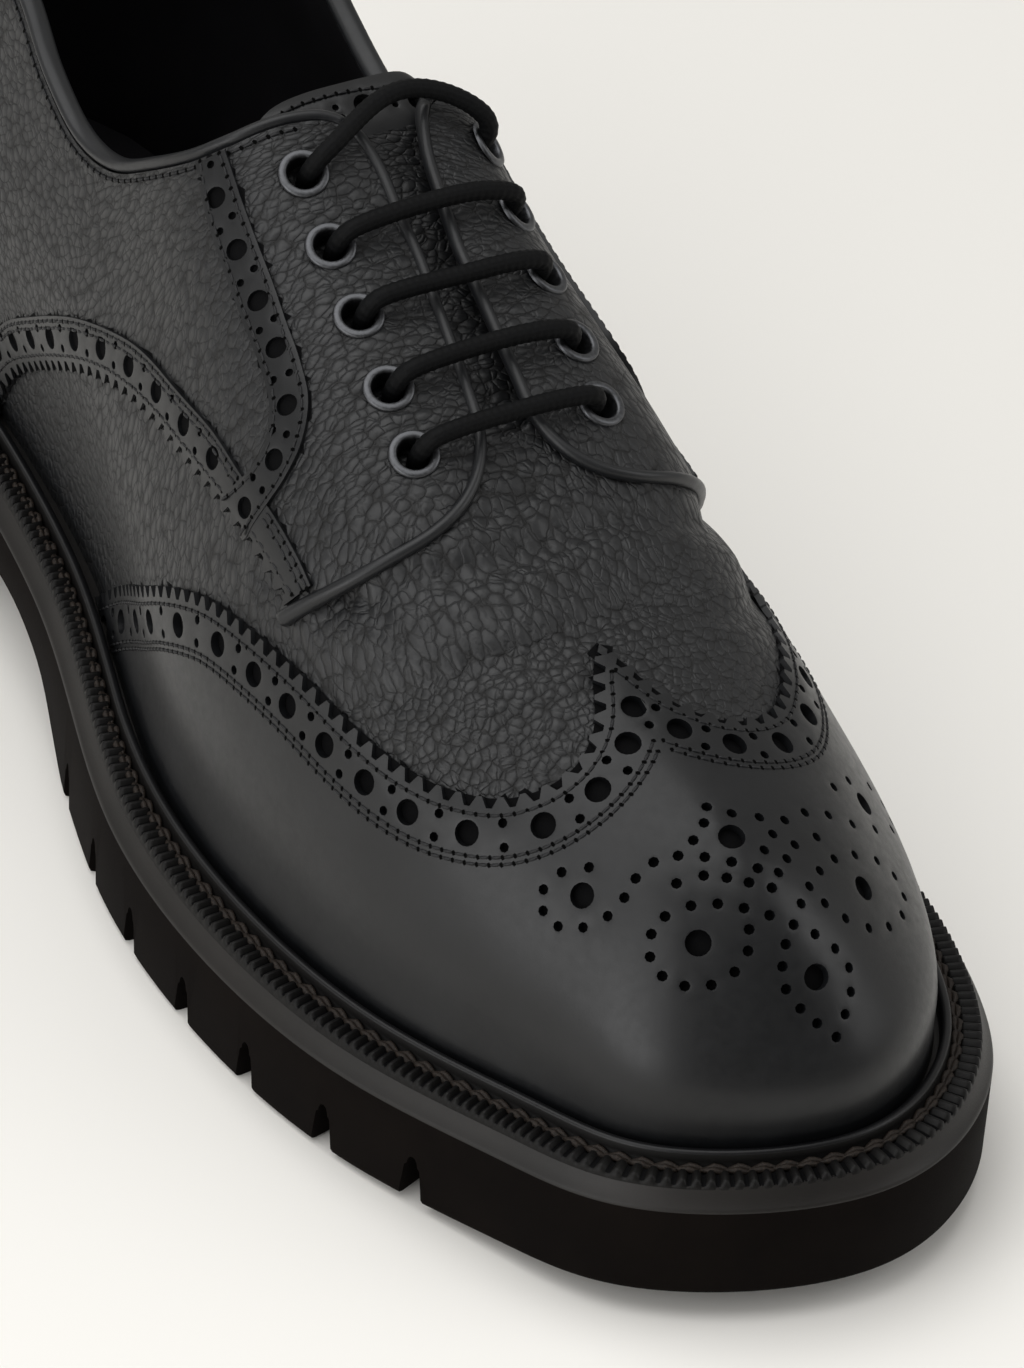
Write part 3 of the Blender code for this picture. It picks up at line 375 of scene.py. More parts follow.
def stations(count):
    """Shares along the sole, closer at the toe and heel."""
    t = np.linspace(0, 1, count + 2)[1:-1]
    return 0.5 - 0.5 * np.cos(math.pi * t)


def ring(points, count):
    """A closed plan line as pairs with equal shares: toe, lateral side, heel, medial side."""
    toe, heel = points[:, 1].argmin(), points[:, 1].argmax()
    P = np.roll(points, -toe, 0)
    heel = (heel - toe) % len(P)
    one, other = P[:heel + 1], np.vstack([P[heel:], P[:1]])
    low, high = P[0, 1], P[heel, 1]
    ys = low + (high - low) * stations(count)
    first = np.stack([np.interp(ys, one[:, 1], one[:, 0]), ys], 1)
    second = np.stack([np.interp(ys, other[::-1, 1], other[::-1, 0]), ys], 1)
    return np.vstack([P[:1], first, P[heel:heel + 1], second[::-1]])


def ladder(start, count, flip):
    """Faces across a ring made by ring()."""
    n = 2 * count + 2
    left = [start + i for i in range(count + 2)]
    right = [start] + [start + n - i for i in range(1, count + 1)] + [start + count + 1]
    faces = [(left[0], left[1], right[1])]
    faces += [(left[i], left[i + 1], right[i + 1], right[i]) for i in range(1, count)]
    faces.append((left[count], left[count + 1], right[count]))
    return [f[::-1] for f in faces] if flip else faces


def stack(rings):
    """Faces up through rings of equal count, bottom first."""
    n = len(rings[0])
    count = (n - 2) // 2
    faces = ladder(0, count, True)
    for r in range(len(rings) - 1):
        faces += [(r*n + i, r*n + (i + 1) % n, (r + 1)*n + (i + 1) % n, (r + 1)*n + i) for i in range(n)]
    faces += ladder((len(rings) - 1) * n, count, False)
    return np.vstack(rings), faces


def outward(mesh):
    """Turn every face of a closed mesh outward."""
    bm = bmesh.new()
    bm.from_mesh(mesh)
    bmesh.ops.recalc_face_normals(bm, faces=bm.faces)
    bm.to_mesh(mesh)
    bm.free()


def at_share(s, side):
    """Outline point and outward normal at a share on one side."""
    P = sole_outline(1440)
    n = plan_normals(P)
    on = np.where((P[:, 0] < 0) == (side < 0))[0]
    i = on[np.abs(share(P[on]) - s).argmin()]
    return P[i], n[i]


def underside(s):
    """Height of the outsole's underside at a share along the sole."""
    heel = through(s, UNDERSIDE, 1) * (HEEL_HEIGHT + SEAT_GAP)
    toe = through(s, UNDERSIDE, 2) * TOE_SPRING
    return np.maximum(heel + toe, 0.0)



def spread(P):
    """Local way from real millimetres to the pattern at each point (2 by 2)."""
    P = np.atleast_2d(P)
    across = (form.lift(P + (1, 0)) - form.lift(P - (1, 0))) / (2 * MM)
    along = (form.lift(P + (0, 1)) - form.lift(P - (0, 1))) / (2 * MM)
    G = np.empty((len(P), 2, 2))
    G[:, 0, 0] = (across * across).sum(1)
    G[:, 1, 1] = (along * along).sum(1)
    G[:, 0, 1] = G[:, 1, 0] = (across * along).sum(1)
    w, V = np.linalg.eigh(G)
    w = np.clip(w, 0.25, 4.0)
    return np.einsum("nij,nj,nkj->nik", V, w ** -0.5, V)


def beside(line, amount):
    """A line on the pattern moved sideways by real millimetres (positive to the left of its run)."""
    d = np.gradient(line, axis=0)
    n = np.stack([-d[:, 1], d[:, 0]], 1)
    n /= np.linalg.norm(n, axis=1)[:, None]
    M = spread(line)
    v = np.einsum("nij,njk,nk->ni", M, M, n)
    size = np.sqrt(np.abs((n * v).sum(1)))[:, None]
    amount = np.asarray(amount, float)
    return line + v / size * (amount if amount.ndim == 0 else amount[:, None])


def paced(line, pitch, start=0.5, end=0.5):
    """Points along a line at an even real pitch, kept clear of its ends (shares of the pitch)."""
    P = form.lift(line) / MM
    d = np.r_[0, np.cumsum(np.linalg.norm(np.diff(P, axis=0), axis=1))]
    count = max(int(round((d[-1] - (start + end) * pitch) / pitch)), 1)
    u = np.linspace(start * pitch, d[-1] - end * pitch, count + 1)
    return np.stack([np.interp(u, d, line[:, i]) for i in (0, 1)], 1)


def gimped(line, turn, pitch=3.4, depth=1.7):
    """A line cut into teeth: the tips stay on the line, the notches go to its left or right."""
    at = paced(line, pitch, 0, 0)
    shares = np.array([0.12, 0.34, 0.62, 0.88])
    both = (at[:-1, None] + (at[1:] - at[:-1])[:, None] * shares[None, :, None]).reshape(-1, 2)
    depths = np.tile([0.0, depth * turn, depth * turn, 0.0], len(at) - 1)
    return np.vstack([at[:1], beside(both, depths), at[-1:]])


def hole_ring(at, across, count):
    a = (np.arange(count) + 0.5) * 2 * math.pi / count
    unit = np.stack([np.cos(a), np.sin(a)], 1) * across / 2
    return np.asarray(at) + unit @ spread(at)[0].T


def net(outer, holes=(), step=1.5, fine=None, ring_gap=0.45, lines=()):
    """Triangles of the pattern inside an outline, with holes (x, y, diameter) cut out."""
    loops = [np.asarray(outer, float)]
    middles, radii = [], []
    for x, y, across in holes:
        count = 16 if across > 2 else 8
        loops.append(hole_ring((x, y), across, count))
        loops.append(hole_ring((x, y), across + 2 * ring_gap, count))
        middles.append((x, y))
        radii.append(across / 2)
    points, edges = [], []
    for loop in loops + [np.asarray(line, float) for line in lines]:
        k = len(points)
        n = len(loop)
        points += [tuple(p) for p in loop]
        edges += [(k + i, k + (i + 1) % n) for i in range(n)]
    tree = KDTree(len(points))
    for i, p in enumerate(points):
        tree.insert((*p, 0.0), i)
    tree.balance()
    low, high = loops[0].min(0), loops[0].max(0)
    lattice = []
    for size, wanted in ((step, False), (step / 2, True)):
        if wanted and fine is None:
            continue
        rows = int((high[1] - low[1]) / (size * 0.866)) + 2
        columns = int((high[0] - low[0]) / size) + 2
        j, i = np.meshgrid(np.arange(rows), np.arange(columns), indexing="ij")
        grid = np.stack([low[0] + (i + 0.5 * (j % 2)) * size, low[1] + j * size * 0.866], -1).reshape(-1, 2)
        grid = grid[in_loop(grid, loops[0])]
        if fine is not None:
            grid = grid[fine(grid) == wanted]
        keep = [tree.find((x, y, 0.0))[2] > 0.62 * size for x, y in grid]
        lattice.append(grid[np.array(keep, bool)] if len(grid) else grid)
    lattice = np.concatenate(lattice)
    centres = KDTree(max(len(middles), 1))
    for i, p in enumerate(middles):
        centres.insert((*p, 0.0), i)
    centres.balance()
    if middles:
        hit = [centres.find((x, y, 0.0)) for x, y in lattice]
        lattice = lattice[np.array([h[2] > radii[h[1]] * 1.1 for h in hit], bool)]
    points += [tuple(p) for p in lattice]
    made = delaunay_2d_cdt([Vector(p) for p in points], edges, [], 0, 1e-4)
    flat = np.array([v[:] for v in made[0]])
    faces = np.array([f for f in made[2] if len(f) == 3])
    a, b, c = flat[faces[:, 0]], flat[faces[:, 1]], flat[faces[:, 2]]
    area = (b[:, 0]-a[:, 0])*(c[:, 1]-a[:, 1]) - (b[:, 1]-a[:, 1])*(c[:, 0]-a[:, 0])
    faces = np.where((area < 0)[:, None], faces[:, ::-1], faces)[np.abs(area) > 1e-6]
    middle = flat[faces].mean(1)
    good = in_loop(middle, loops[0])
    if middles:
        hit = [centres.find((x, y, 0.0)) for x, y in middle]
        local = np.array([h[1] for h in hit])
        inverse = np.array([np.linalg.inv(spread(m)[0]) for m in middles])
        gap = np.einsum("nij,nj->ni", inverse[local], middle - np.array(middles)[local])
        good &= np.linalg.norm(gap, axis=1) > np.array(radii)[local] * 0.99
    return flat, faces[good]


def in_loop(points, polygon):
    """Which points lie inside a closed polygon, worked out in slices."""
    out = np.zeros(len(points), bool)
    for i in range(0, len(points), 4000):
        out[i:i + 4000] = inside(points[i:i + 4000], polygon)
    return out


def rim_edges(faces):
    edges = np.concatenate([faces[:, [0, 1]], faces[:, [1, 2]], faces[:, [2, 0]]])
    key = np.sort(edges, 1)
    key = key[:, 0].astype(np.int64) * 10000000 + key[:, 1]
    _, index, count = np.unique(key, return_index=True, return_counts=True)
    return edges[index[count == 1]]


def sheet(name, flat, faces, top, bottom, looks, kind=None, soft=0.16):
    """A leather piece: its outer face at top, walls down to bottom (mm over the last)."""
    used, faces = np.unique(faces, return_inverse=True)
    faces = faces.reshape(-1, 3)
    P = flat[used]
    level = top(P) if callable(top) else np.full(len(P), float(top))
    rim = rim_edges(faces)
    on_rim = np.unique(rim)
    level = level.copy()
    level[on_rim] -= soft
    upper_side, _ = form.place(P, level)
    order = {v: i for i, v in enumerate(on_rim)}
    wall_top = upper_side[on_rim]
    wall_low, _ = form.place(P[on_rim], np.full(len(on_rim), float(bottom)))
    n, m = len(P), len(on_rim)
    points = np.vstack([upper_side, wall_top, wall_low])
    walls = [(n + order[b], n + order[a], n + m + order[a], n + m + order[b]) for a, b in rim]
    quads = [tuple(map(int, f)) for f in faces] + [tuple(map(int, w)) for w in walls]
    a, b, c = upper_side[faces[:, 0]], upper_side[faces[:, 1]], upper_side[faces[:, 2]]
    normal = np.cross(b - a, c - a)
    middle = (a + b + c) / 3
    away = middle - np.array([0, 0, 0.03]) - middle * np.array([0, 1, 0])
    if (normal * away).sum() < 0:
        quads = [q[::-1] for q in quads]
    mesh = bpy.data.meshes.new(name)
    mesh.from_pydata(points.tolist(), [], quads)
    mesh.shade_smooth()
    for look in looks:
        mesh.materials.append(look)
    if kind is not None:
        index = kind(P[faces].mean(1))
        index = np.concatenate([index, np.full(len(walls), 0)]).astype(np.int32)
        mesh.polygons.foreach_set("material_index", index)
    mesh.update()
    return piece(name, mesh)


def piece(name, mesh):
    ob = bpy.data.objects.new(name, mesh)
    bpy.context.scene.collection.objects.link(ob)
    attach(ob, "root")
    return ob


def plain(name, points, faces, look):
    mesh = bpy.data.meshes.new(name)
    mesh.from_pydata(np.asarray(points).tolist(), [], faces)
    mesh.shade_smooth()
    mesh.materials.append(look)
    return piece(name, mesh)


def sweep(line, sections):
    """A capped loft of sections (side, up) along a 3-D line whose frames are (side, up) vectors."""
    n, k = len(sections), len(sections[0])
    points = np.concatenate([p + np.outer(S[:, 0], side) + np.outer(S[:, 1], up)
                             for p, side, up, S in zip(*line, sections)])
    faces = [(i*k + j, (i + 1)*k + j, (i + 1)*k + (j + 1) % k, i*k + (j + 1) % k)
             for i in range(n - 1) for j in range(k)]
    return points, faces + [tuple(range(k)), tuple(range((n - 1)*k, n*k))[::-1]]


def frames(P, up, closed=False):
    """Side and up vectors along a line, square to its run."""
    d = (np.roll(P, -1, 0) - np.roll(P, 1, 0)) if closed else np.gradient(P, axis=0)
    d /= np.linalg.norm(d, axis=1)[:, None] + 1e-12
    side = np.cross(d, up)
    side /= np.linalg.norm(side, axis=1)[:, None] + 1e-12
    return P, side, np.cross(side, d)


def oval(wide, high, count):
    a = np.arange(count) * 2 * math.pi / count
    return np.stack([np.cos(a) * wide / 2, np.sin(a) * high / 2], 1) * MM


def tube(rows, k, start=0):
    """An open tube of rings: share of the run along it, then side, up, half width and half height (mm)."""
    angles = [j * 2 * math.pi / k for j in range(k)]
    points = [(x, -(y + w * math.cos(t)) * MM, (z + h * math.sin(t)) * MM) for x, y, z, w, h in rows
              for t in angles]
    faces = [(start + r*k + j, start + r*k + (j + 1) % k, start + (r + 1)*k + (j + 1) % k,
              start + (r + 1)*k + j)
             for r in range(len(rows) - 1) for j in range(k)]
    return points, faces


def repeated(name, starts, ends, up, shape, looks, index):
    """One small shape set on every run from a start to its end by a node tree, made a plain mesh."""
    run = ends - starts
    length = np.linalg.norm(run, axis=1)[:, None]
    x = run / length
    side = np.cross(x, up)
    side /= np.linalg.norm(side, axis=1)[:, None]
    turns = [Matrix(rows).transposed().to_quaternion() for rows in np.stack([x, -side, np.cross(side, x)], 1)]
    small = bpy.data.meshes.new("small_shape")
    small.from_pydata(shape[0], [], shape[1])
    small.shade_smooth()
    for look in looks:
        small.materials.append(look)
    small.polygons.foreach_set("material_index", index)
    small = bpy.data.objects.new("small_shape", small)
    places = bpy.data.meshes.new("places")
    places.from_pydata(((starts + ends) / 2).tolist(), [], [])
    places.attributes.new("turn", "QUATERNION", "POINT").data.foreach_set("value", np.ravel(turns))
    sizes = np.c_[length, np.ones((len(x), 2))]
    places.attributes.new("stretch", "FLOAT_VECTOR", "POINT").data.foreach_set("vector", sizes.ravel())
    places = bpy.data.objects.new("places", places)
    bpy.context.scene.collection.objects.link(places)

    tree = bpy.data.node_groups.new(name + "_repeat", "GeometryNodeTree")
    sockets = {}
    for label, kind in (("Geometry", "Geometry"), ("Shape", "Object"), ("Size", "Float")):
        sockets[label] = tree.interface.new_socket(label, in_out="INPUT", socket_type="NodeSocket" + kind)
    tree.interface.new_socket("Geometry", in_out="OUTPUT", socket_type="NodeSocketGeometry")
    given = node(tree, "NodeGroupInput").outputs
    found = {}
    for label, kind in (("turn", "QUATERNION"), ("stretch", "FLOAT_VECTOR")):
        made = node(tree, "GeometryNodeInputNamedAttribute", [("Name", label)], data_type=kind)
        found[label] = next(socket for socket in made.outputs if socket.enabled)
    scale = node(tree, "VectorMath", [(0, found["stretch"]), ("Scale", given["Size"])], operation="SCALE")
    pattern = node(tree, "GeometryNodeObjectInfo", [("Object", given["Shape"])])
    put = node(tree, "GeometryNodeInstanceOnPoints", [
        ("Points", given["Geometry"]), ("Instance", pattern.outputs["Geometry"]), ("Rotation", found["turn"]),
        ("Scale", scale.outputs[0])])
    real = node(tree, "GeometryNodeRealizeInstances", [("Geometry", put.outputs[0])])
    threads = node(tree, "GeometryNodeMaterialSelection", [("Material", looks[0])])
    dressed = node(tree, "GeometryNodeSetMaterial", [
        ("Geometry", real.outputs[0]), ("Selection", threads.outputs[0]), ("Material", looks[0])])
    node(tree, "NodeGroupOutput", [("Geometry", dressed.outputs[0])])
    modifier = places.modifiers.new("repeat", "NODES")
    modifier.node_group = tree
    modifier[sockets["Shape"].identifier] = small
    modifier[sockets["Size"].identifier] = 1.0
    mesh = bpy.data.meshes.new_from_object(places.evaluated_get(bpy.context.evaluated_depsgraph_get()))
    mesh.name = name
    for label in found:
        if label in mesh.attributes:
            mesh.attributes.remove(mesh.attributes[label])
    for ob in (places, small):
        bpy.data.objects.remove(ob)
    outward(mesh)
    return piece(name, mesh)


STITCH_PITCH, STITCH_WIDE, STITCH_HIGH = 2.05, 0.52, 0.40


def stitches(name, rows, looks):
    """Rows of sewn stitches, each a short thread that starts at a flat near-black hexagon, painted shade of
    the needle hole.
    """
    rings = [(-0.44, -0.75, 0.35), (-0.37, -0.2, 0.8), (-0.176, 0.12, 1.0), (0.176, 0.12, 1.0),
             (0.37, -0.2, 0.8), (0.44, -0.75, 0.35)]
    rings = [(x, 0, z * STITCH_HIGH, STITCH_WIDE / 2 * w, STITCH_HIGH / 2 * w) for x, z, w in rings]
    points, faces = tube(rings, 6)
    # A flat near-black hexagon at the start of each stitch: painted shade of the needle hole.
    hole = [(-0.55, -0.30), (0.0, -0.62), (0.55, -0.10), (0.55, 0.30), (0.0, 0.62), (-0.55, 0.10)]
    points += [(-0.5 + u * 0.30, -v * 0.72 * MM, 0.035 * MM) for u, v in hole]
    index = [0] * len(faces) + [1]
    faces.append(tuple(range(len(points) - 6, len(points))))
    starts, ends, ups = [], [], []
    for row, high in rows:
        P, n = form.place(paced(row, STITCH_PITCH, 0, 0), high)
        starts.append(P[:-1])
        ends.append(P[1:])
        ups.append(n[:-1] + n[1:])
    return repeated(name, *map(np.vstack, (starts, ends, ups)), (points, faces), looks, index)


# ---------------------------------------------------------------- materials
def colour(code):
    """sRGB hex to linear."""
    values = [int(code[i:i + 2], 16) / 255 for i in (1, 3, 5)]
    return tuple(v / 12.92 if v <= 0.04045 else ((v + 0.055) / 1.055) ** 2.4 for v in values) + (1.0,)


def node(tree, kind, inputs=(), **settings):
    """Add a node with its settings, and give or link its inputs."""
    made = tree.nodes.new(kind if kind.startswith(("Geometry", "NodeGroup")) else "ShaderNode" + kind)
    for key, value in settings.items():
        setattr(made, key, value)
    for key, value in inputs:
        if isinstance(value, bpy.types.NodeSocket):
            tree.links.new(value, made.inputs[key])
        else:
            made.inputs[key].default_value = value
    return made


def surface(name, noises, tint, rough, relief=None, shine=None, specular=0.5, coat=(0.0, 0.3),
            metallic=0.0, rows=()):
    """A material whose patterns are sized in millimetres.

    noises: name, then (scale, detail, roughness). tint: source, low, high, colour at low, at high.
    relief: source, strength, depth. shine: source, low, high, roughness at low, at high.
    rows: further nodes as (name, kind, inputs, output, settings); a string input is an earlier name.
    """
    made = bpy.data.materials.new(name)
    made.use_nodes = True
    tree = made.node_tree
    shader = tree.nodes["Principled BSDF"]
    values = {"Roughness": rough, "Metallic": metallic, "Coat Weight": coat[0], "Coat Roughness": coat[1]}
    if metallic == 0:
        values["Specular IOR Level"] = specular
    for key, value in values.items():
        shader.inputs[key].default_value = value
    place = node(tree, "TexCoord").outputs["Object"]
    known = {"mm": node(tree, "VectorMath", [(0, place), ("Scale", 1000.0)], operation="SCALE").outputs[0]}
    for key, sizes in noises.items():
        inputs = [("Vector", known["mm"]), *zip(("Scale", "Detail", "Roughness"), sizes)]
        known[key] = node(tree, "TexNoise", inputs).outputs[0]
    for key, kind, inputs, output, settings in rows:
        inputs = [(socket, known[value] if isinstance(value, str) else value) for socket, value in inputs]
        known[key] = node(tree, kind, inputs, **settings).outputs[output]
    source, low, high, dark, light = tint
    mottle = node(tree, "MapRange", [(0, known[source]), (1, low), (2, high)]).outputs[0]
    ends = [known.get(code) or colour(code) for code in (dark, light)]
    base = node(tree, "Mix", [(0, mottle), (6, ends[0]), (7, ends[1])], data_type="RGBA").outputs[2]
    tree.links.new(base, shader.inputs["Base Color"])
    if relief:
        source, strength, depth = relief
        bump = node(tree, "Bump", [("Strength", strength), ("Distance", depth * MM),
                                   ("Height", known[source])])
        tree.links.new(bump.outputs[0], shader.inputs["Normal"])
    if shine:
        span = node(tree, "MapRange", [(0, known[shine[0]])] + list(enumerate(shine[1:], 1)))
        tree.links.new(span.outputs[0], shader.inputs["Roughness"])
    return made


# Tumbled calf: domed pebbles about 2 mm across with thin valleys, some longer folds, and pebbles drawn out
# beside the eyelets;
# it gives a broken, low sheen. The colour is painted near black down in the valleys: painted shade.
ADD, TIMES, APART = ({"operation": word} for word in ("MULTIPLY_ADD", "MULTIPLY", "DISTANCE"))
NEAR_EDGE = {"feature": "DISTANCE_TO_EDGE"}
PEBBLES = [
    ("wobble", "TexNoise", [("Vector", "mm"), ("Scale", 0.42), ("Detail", 2.0)], "Color", {}),
    ("bent", "VectorMath", [(0, "wobble"), (1, (1.1, 1.1, 1.1)), (2, "mm")], 0, ADD),
    ("near", "VectorMath", [(0, "mm"), (1, (-12.0, -20.0, 92.0))], "Value", APART),
    ("worn", "MapRange", [(0, "near"), (1, 30.0), (2, 58.0), (3, 1.0), (4, 0.0)], 0, {}),
    ("drawn", "VectorMath", [(0, "bent"), (1, (0.72, 1.22, 0.72))], 0, TIMES),
    ("where", "Mix", [(0, "worn"), (4, "bent"), (5, "drawn")], 1, {"data_type": "VECTOR"}),
    ("cell", "TexVoronoi", [("Vector", "where"), ("Scale", 0.60), ("Randomness", 0.9)], "Distance",
     {"feature": "F1"}),
    ("split", "TexVoronoi", [("Vector", "where"), ("Scale", 0.60), ("Randomness", 0.9)], 0, NEAR_EDGE),
    ("fold", "TexVoronoi", [("Vector", "where"), ("Scale", 0.21)], 0, NEAR_EDGE),
    ("square", "Math", [(0, "cell"), (1, "cell")], 0, TIMES),
    ("dome", "Math", [(0, "square"), (1, -1.5), (2, 1.0)], 0, ADD),
    ("line", "MapRange", [(0, "split"), (1, 0.0), (2, 0.10)], 0, {"interpolation_type": "SMOOTHSTEP"}),
    ("deep", "MapRange", [(0, "fold"), (1, 0.0), (2, 0.05)], 0, {}),
    ("lined", "Math", [(0, "line"), (1, 0.30), (2, "dome")], 0, ADD),
    ("folded", "Math", [(0, "deep"), (1, 0.25), (2, "lined")], 0, ADD),
    ("high", "Math", [(0, "small"), (1, 0.05), (2, "folded")], 0, ADD),
    ("far", "VectorMath", [(0, "mm"), (1, (0.0, -58.0, 66.0))], "Value", APART),
    ("fading", "MapRange", [(0, "far"), (1, 45.0), (2, 120.0), (3, 1.0), (4, 0.62)], 0, {}),
    ("patches", "MapRange", [(0, "patchy"), (1, 0.3), (2, 0.7), (3, 0.9), (4, 1.1)], 0, {}),
    ("strong", "Math", [(0, "fading"), (1, "patches")], 0, TIMES),
    ("raised", "Math", [(0, "high"), (1, "strong")], 0, TIMES),
    ("mottle", "MapRange", [(0, "tone"), (1, 0.3), (2, 0.7)], 0, {}),
    ("ground", "Mix", [(0, "mottle"), (6, colour("#101113")), (7, colour("#151618"))], 2,
     {"data_type": "RGBA"}),
]
# The colour follows the pebble height: near black in the valleys (painted shade), the ground tone on the dome
# tops.
PEBBLE = surface(
    "pebble_grain_leather", {"small": (3.0, 3.0), "patchy": (0.05, 2.0), "tone": (0.03, 3.0)},
    ("high", 0.45, 0.95, "#020203", "ground"), 0.42, ("raised", 1.0, 0.36), ("high", 0.5, 1.6, 0.66, 0.40),
    0.42, (0.08, 0.30), rows=PEBBLES)


def polished_leather(name, rough, dark, light):
    """Buffed calf: fine pores, a faint swell and a thin waxed coat, for a soft gloss."""
    swell = [("high", "Math", [(0, "broad"), (1, 1.5), (2, "pores")], 0, ADD)]
    noises = {"pores": (3.2, 4.0, 0.6), "broad": (0.09, 3.0), "fleck": (0.6, 5.0, 0.65)}
    return surface(name, noises, ("broad", 0.35, 0.65, dark, light), rough, ("high", 0.25, 0.05),
                   ("fleck", 0.3, 0.75, rough - 0.04, rough + 0.08), 0.34, (0.12, 0.22), rows=swell)


def matt(name, dark, light, rough, bump, specular):
    """A cast or raw surface: a fine grain of about 0.2 mm and a faint mottling."""
    return surface(name, {"grain": (5.0, 3.0, 0.6), "cloud": (0.06, 4.0, 0.6)},
                   ("cloud", 0.35, 0.68, dark, light), rough,
                   ("grain", bump, 0.06), ("grain", 0.3, 0.7, rough - 0.05, rough + 0.08), specular)


def thread(name, dark, light, rough, specular):
    """Waxed thread or cord: uneven ply of about a quarter millimetre, little shine."""
    return surface(name, {"ply": (4.0, 2.0)}, ("ply", 0.35, 0.65, dark, light), rough,
                   ("ply", 0.5, 0.08), None, specular)


POLISH = polished_leather("polished_calf_leather", 0.40, "#0a0b0d", "#101113")
ROLLED = polished_leather("rolled_leather_edge", 0.42, "#131416", "#1a1b1d")
# Near-black matt stand-in for the shade in perforations, tooth notches and knurl grooves: painted shade.
PAINTED_SHADE = matt("painted_shade_leather", "#050506", "#0a0a0b", 0.85, 0.5, 0.08)
LINING = matt("black_lining_leather", "#08070a", "#0e0d10", 0.66, 0.2, 0.2)
RUBBER = matt("moulded_rubber_sole", "#090605", "#0e0a08", 0.78, 0.35, 0.05)
# The bevel is the sole's own rubber with a smoother, shinier finish; its lighter colour is painted light on
# the upward-facing edge.
LIT_BEVEL = matt("moulded_rubber_bevel_lit", "#110f0d", "#191614", 0.48, 0.15, 0.34)
WELT = matt("welt_leather_black", "#050404", "#0a0908", 0.50, 0.35, 0.20)
RIB = matt("welt_rib_leather", "#08080a", "#0e0e10", 0.36, 0.2, 0.30)
LOCK = thread("waxed_welt_thread", "#15110e", "#2b241f", 0.6, 0.2)
SEWING = thread("black_sewing_thread", "#0e0e10", "#191a1c", 0.5, 0.3)
# Near-black flat mark for the shade in each needle hole: painted shade.
NEEDLE_HOLE_SHADE = matt("needle_hole_shade_mark", "#020202", "#040404", 0.9, 0.0, 0.05)
CORD_LOOK = thread("waxed_cotton_cord", "#040405", "#0a0b0c", 0.66, 0.12)
# Plated brass with a dull gunmetal finish, faintly brushed
METAL = surface("gunmetal_plated_eyelet", {"brushed": (2.0, 3.0)},
                ("brushed", 0.3, 0.7, "#4d4e50", "#5f6063"), 0.40,
                ("brushed", 0.12, 0.03), ("brushed", 0.3, 0.7, 0.34, 0.48), metallic=1.0)

# ---------------------------------------------------------------- pattern lines
wing_line = {s: on_side(WING, s, 1.0) for s in (-1, 1)}
# The corner between facing and collar is rounded
CORNER = [(0.0679, 0.0110), (0.0580, 0.0055), (0.0527, -0.0006)]
facing_rows = CORNER + FACING[1:]
collar_rows = {
    -1: [CORNER[0], (0.0821, 0.0146), (0.0982, 0.0169)] + COLLAR_LATERAL[2:],
    1: [CORNER[0], (0.0821, 0.0140), (0.0982, 0.0158)] + COLLAR_MEDIAL[2:]}
facing = {s: on_side(facing_rows, s, 1.0) for s in (-1, 1)}
collar = {s: on_side(collar_rows[s], s, 1.0) for s in (-1, 1)}
band_top = {s: on_side(BAND_TOP, s, 1.0) for s in (-1, 1)}
band_low = {s: on_side(BAND_LOW, s, 1.0) for s in (-1, 1)}
strip_rear = {s: on_side(STRIP_REAR, s, 1.0) for s in (-1, 1)}
strip_front = {s: on_side(STRIP_FRONT, s, 1.0) for s in (-1, 1)}
foot = evenly(form.C[:, form.down] * 0.8 + form.C[:, form.down + 1] * 0.2, 700)

# Where the welt is wide, the foot of the upper stands farther out over it (mm)
FLARE_MOST, FLARE_TALL, PLAIN_WELT = 2.0, 7.0, 9.4
foot_few = foot[::5]
foot_place = form.place(foot_few)[0]
edge_few = sole_outline(700)
edge_gap = np.linalg.norm(foot_place[:, None, :2] - edge_few[None, :, :2], axis=2).min(1) / MM
foot_flare = np.clip(edge_gap - PLAIN_WELT, 0, FLARE_MOST)
for _ in range(12):
    foot_flare = (np.roll(foot_flare, 1) + 2 * foot_flare + np.roll(foot_flare, -1)) / 4


def flare(flat):
    """How far the upper stands out near its foot."""
    out = np.zeros(len(flat))
    for start in range(0, len(flat), 4000):
        part = flat[start:start + 4000]
        weight = np.exp(-((part[:, None] - foot_few[None]) ** 2).sum(2) / 200.0) + 1e-12
        away = distance(part, foot_few, np.roll(foot_few, -1, 0))
        out[start:start + 4000] = weight @ foot_flare / weight.sum(1) * np.exp(-(away / FLARE_TALL) ** 2)
    return out


form.flare = flare


def foot_run(start, end, forward):
    """The foot line from near one point to near another (forward runs toe, lateral side, heel)."""
    i = np.linalg.norm(foot - start, axis=1).argmin()
    j = np.linalg.norm(foot - end, axis=1).argmin()
    if forward:
        run = np.arange(i, j if j > i else j + len(foot))
    else:
        run = np.arange(i, j if j < i else j - len(foot), -1)
    return foot[run % len(foot)]


def kept(line, polygon):
    """The longest run of a line that lies inside (or outside) a polygon."""
    good = in_loop(line, polygon)
    best, start = (0, 0), None
    for i, g in enumerate(list(good) + [False]):
        if g and start is None:
            start = i
        if not g and start is not None:
            if i - start > best[1] - best[0]:
                best = (start, i)
            start = None
    return line[best[0]:best[1]]


def runs(line, polygon):
    """Every run of a line that lies outside a polygon."""
    good = ~in_loop(line, polygon)
    cuts = np.flatnonzero(np.diff(good)) + 1
    return [part for part, g in zip(np.split(line, cuts), np.split(good, cuts)) if g[0] and len(part) > 4]


def own_side(line, s):
    """The part of a line that stays on its own side of the centre."""
    good = (line[:, 0] - centre(line[:, 1])) * s >= 0
    return line[np.argmax(good):]


eyelet_holes = []
for s in (-1, 1):
    for y in EYELETS:
        x, along = on_side([(EYELET_ACROSS, y), (EYELET_ACROSS, y - 0.01)], s, 10)[0]
        eyelet_holes.append((x, along, EYELET_HOLE))

